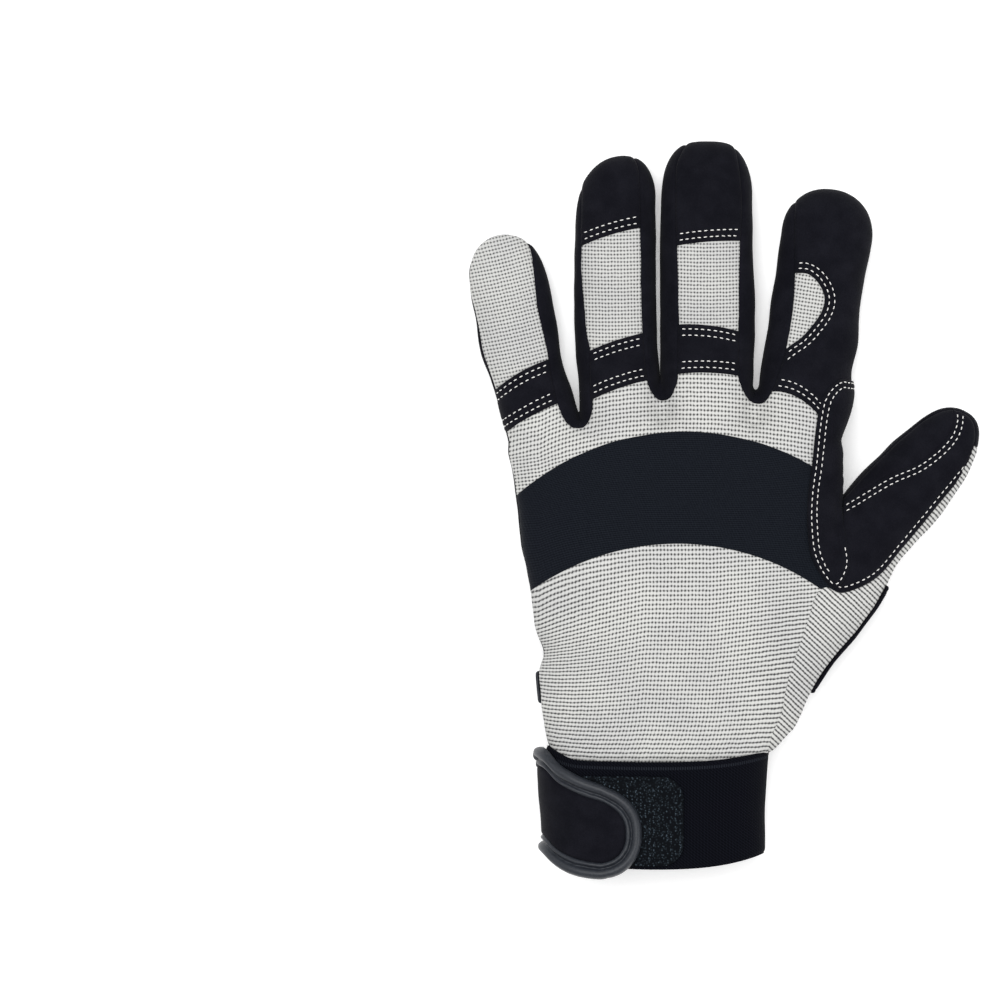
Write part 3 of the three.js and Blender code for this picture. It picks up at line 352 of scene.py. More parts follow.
def drawn_surface(distance, low, high):
    """Vertices and quads of the surface where distance is nothing: one vertex in each cell it crosses."""
    axes = [np.arange(a, b, CELL) for a, b in zip(low, high)]
    grid = np.stack(np.meshgrid(*axes, indexing="ij"), axis=-1)
    field = distance(grid.reshape(-1, 3)).reshape(grid.shape[:3])
    solid = field < 0
    nx, ny, nz = solid.shape
    corners = [(i, j, k) for i in (0, 1) for j in (0, 1) for k in (0, 1)]
    count = sum(solid[i:nx - 1 + i, j:ny - 1 + j, k:nz - 1 + k].astype(int) for i, j, k in corners)
    cells = np.argwhere((count > 0) & (count < 8))
    number = np.full(count.shape, -1)
    number[tuple(cells.T)] = np.arange(len(cells))
    total, hits = np.zeros((len(cells), 3)), np.zeros((len(cells), 1))
    for a in corners:
        for axis in range(3):
            if a[axis]:
                continue
            b = tuple(v + (n == axis) for n, v in enumerate(a))
            fa, fb = field[tuple((cells + a).T)], field[tuple((cells + b).T)]
            cross = (fa < 0) != (fb < 0)
            share = np.where(cross, fa / np.where(cross, fa - fb, 1), 0)[:, None]
            total += np.where(cross[:, None], np.array(a) + share * (np.array(b) - np.array(a)), 0)
            hits += cross[:, None]
    vertices = np.array(low) + CELL * (cells + total / hits)
    quads = []
    for axis in range(3):
        one, two = (axis + 1) % 3, (axis + 2) % 3
        before = np.take(solid, range(solid.shape[axis] - 1), axis)
        after = np.take(solid, range(1, solid.shape[axis]), axis)
        for leaving in (True, False):
            place = np.argwhere((before != after) & (before == leaving))
            steps = [(0, 0), (-1, 0), (-1, -1), (0, -1)]
            ring = []
            for s, t in steps:
                cell = place.copy()
                cell[:, one] += s
                cell[:, two] += t
                ring.append(number[tuple(cell.T)])
            quads.append(np.stack(ring if leaving else ring[::-1], axis=1))
    return vertices, np.vstack(quads)


def slope(distance, p, step=0.05):
    """The direction in which distance grows, and the distance itself."""
    value = distance(p)
    grown = [distance(p + step * np.eye(3)[axis]) for axis in range(3)]
    return np.stack([(g - value) / step for g in grown], axis=1), value


def settled(distance, vertices, quads, rounds=3):
    """The vertices spread evenly and brought onto the surface."""
    sides = np.vstack([quads[:, [i, (i + 1) % 4]] for i in range(4)])
    edges = np.unique(np.sort(sides), axis=0)
    ties = np.bincount(edges.ravel(), minlength=len(vertices))[:, None]
    for _ in range(rounds):
        total = np.zeros_like(vertices)
        for a, b in ((0, 1), (1, 0)):
            for axis in range(3):
                total[:, axis] += np.bincount(edges[:, a], vertices[edges[:, b], axis], len(vertices))
        vertices = vertices + 0.5 * (total / ties - vertices)
        for _ in range(2):
            grow, value = slope(distance, vertices)
            size = np.maximum((grow ** 2).sum(1), 0.2)[:, None]
            vertices = vertices - np.clip(value[:, None] * grow / size, -0.8, 0.8)
    return vertices


def triangles(vertices, quads):
    """Each quad split along its shorter diagonal."""
    a, b, c, d = (vertices[quads[:, i]] for i in range(4))
    short = (((a - c) ** 2).sum(1) <= ((b - d) ** 2).sum(1))[:, None]
    first = np.where(short, quads[:, [0, 1, 2]], quads[:, [0, 1, 3]])
    second = np.where(short, quads[:, [0, 2, 3]], quads[:, [1, 2, 3]])
    return np.vstack([first, second])


def unit(v):
    return v / np.maximum(np.linalg.norm(v, axis=1), 1e-9)[:, None]


def vertex_normals(points, faces):
    a, b, c = (points[faces[:, i]] for i in range(3))
    flat = np.cross(b - a, c - a)
    total = np.zeros_like(points)
    for i in range(3):
        for axis in range(3):
            total[:, axis] += np.bincount(faces[:, i], flat[:, axis], len(points))
    return unit(total)


class Skin:
    """A surface with named figures at its vertices, such as how far inside a seam each one lies."""

    def __init__(self, columns, rows, faces):
        self.columns, self.rows, self.faces = columns, rows, faces

    def __getitem__(self, name):
        place = self.columns[name]
        return self.rows[:, place]

    def with_column(self, name, values):
        columns = dict(self.columns)
        columns[name] = self.rows.shape[1]
        return Skin(columns, np.column_stack([self.rows, values]), self.faces)

    @property
    def points(self):
        return self.rows[:, 0:3]

    @property
    def normals(self):
        return unit(self.rows[:, 3:6])

    def cut(self, values, above_only=False):
        """Splits the triangles in which values changes its sign; above_only leaves the side above nothing."""
        values = np.where(np.abs(values) < 1e-4, 1e-4, values)
        above = values > 0
        rows, faces = self.rows, self.faces
        count = above[faces].sum(1)
        whole = faces[(count == 0) | (count == 3)]
        parted = faces[(count == 1) | (count == 2)]
        lone = np.where(above[parted].sum(1) == 1, 1, 0)
        turn = np.argmax(above[parted] == lone[:, None].astype(bool), axis=1)
        p, q, r = (parted[np.arange(len(parted)), (turn + i) % 3] for i in range(3))
        pairs = np.sort(np.vstack([np.stack([p, q], 1), np.stack([p, r], 1)]), axis=1)
        ends, which = np.unique(pairs, axis=0, return_inverse=True)
        which = which.reshape(-1)
        if len(ends):
            va, vb = values[ends[:, 0]], values[ends[:, 1]]
            share = (va / (va - vb))[:, None]
            fresh = rows[ends[:, 0]] * (1 - share) + rows[ends[:, 1]] * share
        else:
            fresh = rows[:0]
        m, n = which[:len(p)] + len(rows), which[len(p):] + len(rows)
        tips = np.stack([p, m, n], 1)
        rests = np.vstack([np.stack([m, q, r], 1), np.stack([m, r, n], 1)])
        tip_above = above[p]
        sides = [
            np.vstack([whole[above[whole[:, 0]]], tips[tip_above], rests[np.tile(~tip_above, 2)]]),
            np.vstack([whole[~above[whole[:, 0]]], tips[~tip_above], rests[np.tile(tip_above, 2)]]),
        ]
        chosen = sides[0] if above_only else np.vstack(sides)
        used, faces = np.unique(chosen, return_inverse=True)
        return Skin(self.columns, np.vstack([rows, fresh])[used], faces.reshape(-1, 3))


# Seams as figures on the skin

def arc_above(p, arc):
    middle, crown, radius = arc
    return np.hypot(p[:, 0] - middle, p[:, 1] - crown + radius) - radius


def zone_outlines():
    """Closed outlines of the zones that seams bound, on the drawing."""
    far = 300.0
    gusset = smooth_line(GUSSET_ON_HAND + on_digit("thumb", GUSSET_ON_THUMB).tolist())
    palm_edge = smooth_line(PALM_EDGE_ON_HAND + on_digit("thumb", PALM_EDGE_ON_THUMB).tolist())
    crotch = smooth_line(THUMB_CROTCH)
    ridge = smooth_line(on_digit("thumb", THUMB_RIDGE))
    return {
        "gusset_top": np.vstack([gusset, (far, gusset[-1][1]), (far, gusset[0][1])]),
        "gusset_under": np.vstack([palm_edge, (far, palm_edge[-1][1]), (far, palm_edge[0][1])]),
        "thumb_front": np.vstack([crotch, (crotch[-1][0] + 100, crotch[-1][1] - 120), (far, far),
                                  (crotch[0][0] + 30, far)]),
        "beside_ridge": np.vstack([ridge, (far, far), (far, -far), (0, -far)]),
        "index_window": smooth_line(on_digit("index", INDEX_WINDOW)),
        "side_patch": smooth_line(SIDE_PATCH, closed=True),
        "palm_pad": smooth_line(PALM_PAD, closed=True),
        "heel_patch": smooth_line(HEEL_PATCH, closed=True),
        "vent": smooth_line(VENT_BINDING, closed=True),
        **{f"web_{web}": smooth_line(SIDE_STRIPS[web], closed=True) for web in WEBS},
    }


def seam_figures(p):
    """All figures that the panels are cut by: each is above nothing on the side that its name says."""
    zones = {name: inside(p, outline) for name, outline in zone_outlines().items()}
    figures = dict(zones)
    figures["upper"] = p[:, 2] - eased(p[:, 1], *SIDE_SEAM)
    figures["gusset"] = np.where(figures["upper"] >= 0, zones["gusset_top"], zones["gusset_under"])
    figures["over_lower_arc"] = arc_above(p, LOWER_ARC)
    figures["over_upper_arc"] = arc_above(p, UPPER_ARC)
    for name in FINGERS:
        digit = DIGITS[name]
        across, along = in_digit(name, p)
        strip = FINGER_REACH - np.abs(across)
        figures[f"{name}_strip"] = strip
        for i, (place, rise, arch) in enumerate(digit["seams"]):
            line = place + rise * across / digit["width"] + arch * (1 - (2 * across / digit["width"]) ** 2)
            figures[f"{name}_beyond_{i}"] = (along - line) / math.hypot(1, rise / digit["width"])
        figures[f"{name}_root"] = np.minimum(figures[f"{name}_beyond_0"], strip)
        figures[f"{name}_across"], figures[f"{name}_along"] = across, along
    x, y = p[:, 0], p[:, 1]
    over_top = y - OPEN_ROWS["top"]
    figures["outer_row"] = np.maximum.reduce([over_top, OPEN_ROWS["low"] - y, OPEN_ROWS["outer"] - x])
    figures["inner_row"] = np.maximum(over_top, OPEN_ROWS["inner"] - x)
    return figures


def lumps(p, size, seed):
    """Soft random relief between about -1 and 1, with features of that size."""
    shift = np.array([seed * 17.3, seed * 5.1, seed * 9.7])
    q = (p + shift) / size
    return np.array([noise.noise(Vector(v)) for v in q]) * 1.6


def make_skin():
    vertices, quads = drawn_surface(glove_distance, *LATTICE_ENDS)
    vertices = settled(glove_distance, vertices, quads)
    faces = triangles(vertices, quads)
    grow, _ = slope(glove_distance, vertices)
    normals = unit(0.5 * unit(grow) + 0.5 * vertex_normals(vertices, faces))
    figures = seam_figures(vertices)
    columns = {name: 6 + i for i, name in enumerate(figures)}
    rows = np.column_stack([vertices, normals, *figures.values()])
    skin = Skin(columns, rows, faces)
    skin = skin.cut(skin.points[:, 1] - WRIST_OPENING, above_only=True)
    return skin.cut(skin["upper"])


# Panels

# Each edge of a panel: the figure, the side kept, and how its edge is made.
# turned: a folded edge that stands over its neighbour; tucked: it slips under; plain: only a shallow valley.
EDGES = {
    "turned": dict(drop=0.95, width=1.1, underlap=0.0),
    "tucked": dict(drop=0.4, width=1.0, underlap=0.6),
    "plain": dict(drop=0.35, width=1.0, underlap=0.15),
    "none": dict(drop=0.0, width=0.5, underlap=0.0),
}


def edge_drop(distance, kind):
    """How far the surface falls near an edge, by its distance from it."""
    made = EDGES[kind]
    t = np.clip(1 - distance / made["width"], 0, 1)
    return made["drop"] * (1 - np.sqrt(np.maximum(1 - t * t, 0)))


def cut_panel(skin, edges):
    for name, side, kind in edges:
        skin = skin.cut(side * skin[name] + EDGES[kind]["underlap"], above_only=True)
    return skin


def refined(skin, edges, stitches):
    """Extra lines of vertices where the edge rolls over and where stitches pull it in."""
    for name, side, kind in edges:
        if kind == "none":
            continue
        width = EDGES[kind]["width"]
        levels = [0.12 * width, 0.45 * width, width]
        for row_edge, distances in stitches:
            if row_edge == name:
                levels += [d + s for d in distances for s in (-0.5, 0.0, 0.5)]
        for level in sorted(levels):
            skin = skin.cut(side * skin[name] - level)
    return skin


def largest_piece(skin):
    """Leaves out crumbs: keeps the connected part that has the most triangles."""
    parent = np.arange(len(skin.rows))
    edges = np.vstack([skin.faces[:, [0, 1]], skin.faces[:, [1, 2]]])
    while True:
        ends = parent[edges]
        if (ends[:, 0] == ends[:, 1]).all():
            break
        np.minimum.at(parent, ends.max(1), ends.min(1))
        while (parent != parent[parent]).any():
            parent = parent[parent]
    label = parent[skin.faces[:, 0]]
    names, counts = np.unique(label, return_counts=True)
    chosen = skin.faces[label == names[np.argmax(counts)]]
    used, faces = np.unique(chosen, return_inverse=True)
    return Skin(skin.columns, skin.rows[used], faces.reshape(-1, 3))


def panel_surface(skin, edges, stitches=(), rise=0.0, crease=None, relief=0.0, relief_size=9.0, seed=1):
    """A panel's outer surface: the skin raised, rolled down at its edges and drawn in at its stitches."""
    panel = largest_piece(cut_panel(skin, edges))
    panel = refined(panel, edges, stitches)
    height = np.full(len(panel.rows), float(rise))
    drop = np.zeros(len(panel.rows))
    for name, side, kind in edges:
        drop = np.maximum(drop, edge_drop(side * panel[name], kind))
    for name, distances in stitches:
        side = next(s for n, s, _ in edges if n == name)
        for d in distances:
            drop += STITCH_PULL * np.exp(-((side * panel[name] - d) / STITCH_PULL_WIDTH) ** 2)
    if relief:
        height += relief * lumps(panel.points, relief_size, seed)
    if crease is not None:
        height += crease(panel)
    return panel.with_column("height", height - drop)


def piece_mesh(name, panel, inner_at):
    """A closed mesh: the panel's outer surface, an inner one at a height over the skin, and its rim."""
    points, normals, faces = panel.points, panel.normals, panel.faces
    outer = points + normals * panel["height"][:, None]
    outer[:, 2] = np.maximum(outer[:, 2], TABLE_GAP)
    inner = points + normals * np.minimum(panel["height"] - LEAST_WALL, inner_at)[:, None]
    inner[:, 2] = np.maximum(inner[:, 2], TABLE_GAP + LEAST_WALL)
    edges = np.vstack([faces[:, [0, 1]], faces[:, [1, 2]], faces[:, [2, 0]]])
    key = np.sort(edges, axis=1)
    _, first, counts = np.unique(key, axis=0, return_index=True, return_counts=True)
    rim = edges[first[counts == 1]]
    n = len(points)
    walls = np.vstack([np.stack([rim[:, 1], rim[:, 0], rim[:, 0] + n], 1),
                       np.stack([rim[:, 1], rim[:, 0] + n, rim[:, 1] + n], 1)])
    everything = np.vstack([faces, faces[:, ::-1] + n, walls])
    return make_mesh(name, np.vstack([outer, inner]), everything, panel)


def make_mesh(name, points, faces, panel=None):
    mesh = bpy.data.meshes.new(name)
    mesh.vertices.add(len(points))
    placed = points * MM + ORIGIN
    placed[:, 2] = np.maximum(placed[:, 2], TABLE_GAP * MM)
    mesh.vertices.foreach_set("co", placed.astype(np.float32).ravel())
    mesh.loops.add(3 * len(faces))
    mesh.loops.foreach_set("vertex_index", faces.astype(np.int32).ravel())
    mesh.polygons.add(len(faces))
    mesh.polygons.foreach_set("loop_start", np.arange(0, 3 * len(faces), 3, dtype=np.int32))
    mesh.update(calc_edges=True)
    if panel is not None and "weave_u" in panel.columns:
        copies = len(points) // len(panel.rows)
        ribbed = panel["ribbed"] if "ribbed" in panel.columns else 0 * panel["weave_u"]
        weave = np.stack([panel["weave_u"], panel["weave_v"], ribbed], axis=1)
        mesh.attributes.new("weave", "FLOAT_VECTOR", "POINT").data.foreach_set(
            "vector", np.tile(weave, (copies, 1)).astype(np.float32).ravel())
    mesh.shade_smooth()
    thing = bpy.data.objects.new(name, mesh)
    bpy.context.scene.collection.objects.link(thing)
    return thing


def contour(panel, name, level, guards):
    """Lines on the panel's surface where a figure has that level, away from its other edges."""
    values = panel[name] - level
    values = np.where(np.abs(values) < 1e-5, 1e-5, values)
    free = np.ones(len(panel.rows), bool)
    for guard, side, least in guards:
        free &= side * panel[guard] > least
    faces = panel.faces[free[panel.faces].all(1)]
    above = values[faces] > 0
    faces = faces[(above.sum(1) == 1) | (above.sum(1) == 2)]
    surface = panel.points + panel.normals * panel["height"][:, None]
    links, places = {}, {}
    for face in faces:
        ends = []
        for a, b in ((0, 1), (1, 2), (2, 0)):
            i, j = sorted((int(face[a]), int(face[b])))
            if (values[i] > 0) != (values[j] > 0):
                share = values[i] / (values[i] - values[j])
                places[(i, j)] = (surface[i] * (1 - share) + surface[j] * share,
                                  panel.normals[i] * (1 - share) + panel.normals[j] * share)
                ends.append((i, j))
        if len(ends) == 2:
            links.setdefault(ends[0], []).append(ends[1])
            links.setdefault(ends[1], []).append(ends[0])
    lines, seen = [], set()
    starts = [k for k, v in links.items() if len(v) == 1] + list(links)
    for start in starts:
        if start in seen:
            continue
        line, here = [start], start
        seen.add(start)
        while True:
            onward = [k for k in links[here] if k not in seen]
            if not onward:
                break
            here = onward[0]
            seen.add(here)
            line.append(here)
        closed = len(line) > 3 and start in links[here] and len(links[start]) == 2
        if closed:
            line.append(start)
        if len(line) > 3:
            lines.append((np.array([places[k][0] for k in line]), np.array([places[k][1] for k in line])))
    return lines


class Thread:
    """Collects stitches, and makes them into one piece."""

    def __init__(self):
        self.points, self.faces, self.count = [], [], 0
        self.random = np.random.default_rng(7)

    def sew(self, lines, pitch=2.1, length=1.35, thick=0.31, lift=0.12):
        for points, normals in lines:
            for _ in range(3):
                points[1:-1] = 0.25 * points[:-2] + 0.5 * points[1:-1] + 0.25 * points[2:]
            steps = np.linalg.norm(np.diff(points, axis=0), axis=1)
            travelled = np.concatenate([[0], np.cumsum(steps)])
            if travelled[-1] < pitch:
                continue
            number = max(int(round(travelled[-1] / pitch)), 1)
            real = travelled[-1] / number
            for i in range(number):
                middle = (i + 0.5) * real + self.random.normal(0, 0.05)
                ends = [middle - length / 2, middle, middle + length / 2]
                a, m, b = (np.array([np.interp(e, travelled, points[:, k]) for k in range(3)]) for e in ends)
                normal = np.array([np.interp(middle, travelled, normals[:, k]) for k in range(3)])
                self.stitch(a, m, b, normal / np.linalg.norm(normal), thick, lift)

    def stitch(self, a, m, b, normal, thick, lift, rings=5, sides=6):
        way = (b - a) / max(np.linalg.norm(b - a), 1e-6)
        side = np.cross(normal, way)
        slant = self.random.normal(0, 0.05)
        rows = []
        for i in range(rings):
            t = -1 + 2 * i / (rings - 1)
            middle = (a + b) / 2 + (b - a) / 2 * t + (m - (a + b) / 2) * (1 - t * t)
            middle = middle + side * slant * t + normal * (lift * (1 - 2.2 * t ** 4))
            round_ = thick / 2 * math.sqrt(max(1 - (0.93 * t) ** 4, 0.05))
            for k in range(sides):
                turn = 2 * math.pi * k / sides
                rows.append(middle + round_ * (1.15 * math.cos(turn) * side + math.sin(turn) * normal))
        base = self.count
        for i in range(rings - 1):
            for k in range(sides):
                p, q = base + i * sides + k, base + i * sides + (k + 1) % sides
                self.faces += [(p, q, q + sides), (p, q + sides, p + sides)]
        for k in range(1, sides - 1):
            self.faces.append((base, base + k + 1, base + k))
            last = base + (rings - 1) * sides
            self.faces.append((last, last + k, last + k + 1))
        self.points += rows
        self.count += len(rows)

    def made(self, name):
        return make_mesh(name, np.array(self.points), np.array(self.faces))


# Which panel is cut where

BEFORE_THUMB = [("upper", 1, "tucked"), ("gusset", -1, "tucked"), ("thumb_front", -1, "tucked")]
NO_WEBS = [(f"fourchette_{web}", -1, "tucked") for web in WEBS]
OFF_ROOTS = [(f"{name}_root", -1, "tucked") for name in FINGERS]
ROUND_THUMB = [("upper", 1, "plain"), ("thumb_front", 1, "turned"), ("gusset", -1, "turned")]

# name: CAD node, finish, edges, rows of stitches as (edge, distances from it), rise of its surface
PANELS = {
    "palm_leather": dict(
        node="palm_panel", finish="suede", relief=0.35, rise=0.1,
        edges=[("upper", -1, "turned"), ("gusset", -1, "turned")]
        + [(f"fourchette_{web}", -1, "turned") for web in WEBS]),
    "back_knit": dict(
        node="back_panel", finish="knit", relief=0.28, seed=2,
        edges=BEFORE_THUMB + [("over_lower_arc", -1, "none")]),
    "knuckle_rib": dict(
        node="knuckle_band", finish="rib", relief=0.28, seed=2, rise=0.06,
        edges=BEFORE_THUMB + [("over_lower_arc", 1, "none"), ("over_upper_arc", -1, "none")]),
    "knuckle_knit": dict(
        node="knuckle_panel", finish="knit", relief=0.28, seed=2,
        edges=BEFORE_THUMB + [("over_upper_arc", 1, "none")] + NO_WEBS + OFF_ROOTS),
    "gusset_knit": dict(
        node="thumb_gusset", finish="knit", relief=0.25, seed=3, edges=[("gusset", 1, "tucked")]),
    "thumb_inner_leather": dict(
        node="thumb_inner_panel", finish="suede", relief=0.25, seed=4, rise=0.4,
        edges=ROUND_THUMB + [("beside_ridge", -1, "plain")]),
    "thumb_outer_leather": dict(
        node="thumb_outer_panel", finish="suede", relief=0.25, seed=5, rise=0.55,
        edges=ROUND_THUMB + [("beside_ridge", 1, "plain")],
        stitches=[("beside_ridge", (1.2, 2.9)), ("gusset", (1.9,))]),
    "index_leather": dict(
        node="index_back_panel", finish="suede", relief=0.25, seed=6, rise=0.5,
        edges=[("upper", 1, "plain"), ("thumb_front", -1, "tucked"), ("index_strip", 1, "none"),
               ("index_beyond_0", 1, "turned"), ("index_window", -1, "turned"),
               ("fourchette_middle_index", -1, "plain")],
        stitches=[("index_window", (1.6, 3.4)), ("index_beyond_0", (1.8, 3.7))]),
    "index_knit_window": dict(
        node="index_window", finish="fine_knit", relief=0.2, seed=7,
        edges=[("upper", 1, "plain"), ("index_strip", 1, "none"), ("index_window", 1, "tucked"),
               ("fourchette_middle_index", -1, "tucked")]),
}
FINGER_PIECES = {
    "little": ("knuckle_bar", "back_panel"),
    "ring": ("knuckle_bar", "back_panel", "tip_cap"),
    "middle": ("knuckle_bar", "back_panel", "tip_cap"),
}
for finger, pieces in FINGER_PIECES.items():
    webs = [web for web, (_, left, right) in WEBS.items() if finger in (left, right)]
    for number, piece in enumerate(pieces):
        leather = piece != "back_panel"
        fold, beside = ("turned", "plain") if leather else ("tucked", "tucked")
        rims = [("upper", 1, "plain"), (f"{finger}_strip", 1, "none")]
        rims += [(f"fourchette_{web}", -1, beside) for web in webs]
        rims.append((f"{finger}_beyond_{number}", 1, fold))
        rows = [(f"{finger}_beyond_{number}", FINGER_ROWS)]
        if number + 1 < len(pieces):
            rims.append((f"{finger}_beyond_{number + 1}", -1, fold))
            rows.append((f"{finger}_beyond_{number + 1}", FINGER_ROWS))
        PANELS[f"{finger}_{piece}_cloth"] = dict(
            node=f"{finger}_{piece}", finish="suede" if leather else "fine_knit", relief=0.2, seed=8 + number,
            rise=0.5 if leather else 0.0, edges=rims, stitches=rows if leather else [])
for web in WEBS:
    PANELS[f"fourchette_{web}_leather"] = dict(
        node=f"fourchette_{web}", finish="suede", relief=0.2, seed=12, rise=0.35,
        edges=[(f"fourchette_{web}", 1, "turned")])

# patches sewn on the outside: the figure that bounds them, the half they lie on, rows of stitches
PATCHES = {
    "side_patch_leather": dict(
        node="side_patch", zone="side_patch", half=1, rise=1.35, thick=1.1, rows=(1.1, 2.8)),
    "palm_pad_leather": dict(
        node="palm_pad", zone="palm_pad", half=-1, rise=1.5, thick=1.3, rows=(1.4, 3.4)),
    "heel_patch_leather": dict(
        node="heel_patch", zone="heel_patch", half=-1, rise=1.3, thick=1.1, rows=(1.6,)),
    "vent_binding": dict(
        node="vent_piping", zone="vent", half=-1, rise=1.0, thick=0.8, rows=()),
}


def with_seams(skin):
    """Adds the figures of the side strips between the fingers."""
    for web in WEBS:
        over_bottom = skin.points[:, 2] - STRIP_BOTTOM
        skin = skin.with_column(f"fourchette_{web}", np.minimum(skin[f"web_{web}"], over_bottom))
    return skin


def with_weave(panel, name):
    """Adds the places across and along the cloth, which its rows follow, and how ribbed it looks."""
    x, y, z = panel.points.T
    finger = name.split("_")[0]
    if name == "gusset_knit":
        u, v, ribbed = 0.73 * x - 0.68 * y, 1.1 * (0.68 * x + 0.73 * y), 1 + 0 * x
    elif finger in FINGERS:
        u, v, ribbed = panel[f"{finger}_across"], panel[f"{finger}_along"], 0.15 + 0 * x
        v = v - 0.0035 * u ** 2
        u, v = 1.08 * u, 1.2 * v  # the fingers' knit is finer than the back's
    else:
        low, high = eased(y, HAND_SECTIONS[0], HAND_SECTIONS[1]), eased(y, HAND_SECTIONS[0], HAND_SECTIONS[2])
        u = x - (low + high) / 2
        # the rows slant down to both sides over the heel, pinch at the fold and rise over the knuckles
        low_part = np.exp(-((y - 46) / 30) ** 2)
        slant = 0.20 * np.minimum(x + 12, 0) + 0.13 * np.maximum(x - 10, 0)
        pinch = 3.5 * np.tanh((y - SIDE_FOLD["along"]) / 6) * np.exp(-np.maximum(x + 47, 0) / 12)
        v = y - low_part * slant + pinch + 0.0022 * x ** 2 * np.clip((y - 85) / 20, 0, 1)
        # the cloth is stretched to ribs at the little finger's side, beside the thumb and at the wrist
        to_side = np.clip(-(x + 18) / 28, 0, 1) * np.clip((90 - y) / 20, 0, 1)
        to_thumb = np.clip((x - 14 - 0.15 * np.maximum(y - 20, 0)) / 20, 0, 1) * np.clip((70 - y) / 20, 0, 1)
        ribbed = np.clip(0.12 + 0.55 * to_side + 0.75 * to_thumb + 0.3 * np.clip((14 - y) / 12, 0, 1), 0, 1)
    fall = np.maximum(0.55 * panel.points[:, 2].max() - z, 0) if finger != "gusset" else 0 * z
    panel = panel.with_column("weave_u", u + np.sign(u) * fall)
    return panel.with_column("weave_v", v).with_column("ribbed", ribbed)


def wrist_gathers(panel):
    """The cloth is drawn in by the elastic: short upright folds that die out along the hand."""
    x, y, z = panel.points.T
    fold = np.cos(2 * np.pi * (x + 0.6 * np.sin(x * 0.7) + 0.25 * z) / 5.2)
    near = np.exp(-np.maximum(y - 2.0, 0) / 5.0)
    return 0.35 * near * fold - 3.2 * np.exp(-np.maximum(y - 0.5, 0) / 1.9)


# The cuff and its tab

def rounded_strip(u, v, end, half, corner):
    """How far inside a strip with rounded corners at its end each place lies."""
    p, q = u - (end - corner), np.abs(v) - (half - corner)
    return corner - np.hypot(np.maximum(p, 0), np.maximum(q, 0)) - np.minimum(np.maximum(p, q), 0)


def squared_off(value):
    """A sine or cosine, bent so that the ring which it draws is squarer than an ellipse."""
    return np.sign(value) * np.abs(value) ** (2 / CUFF["corner"])


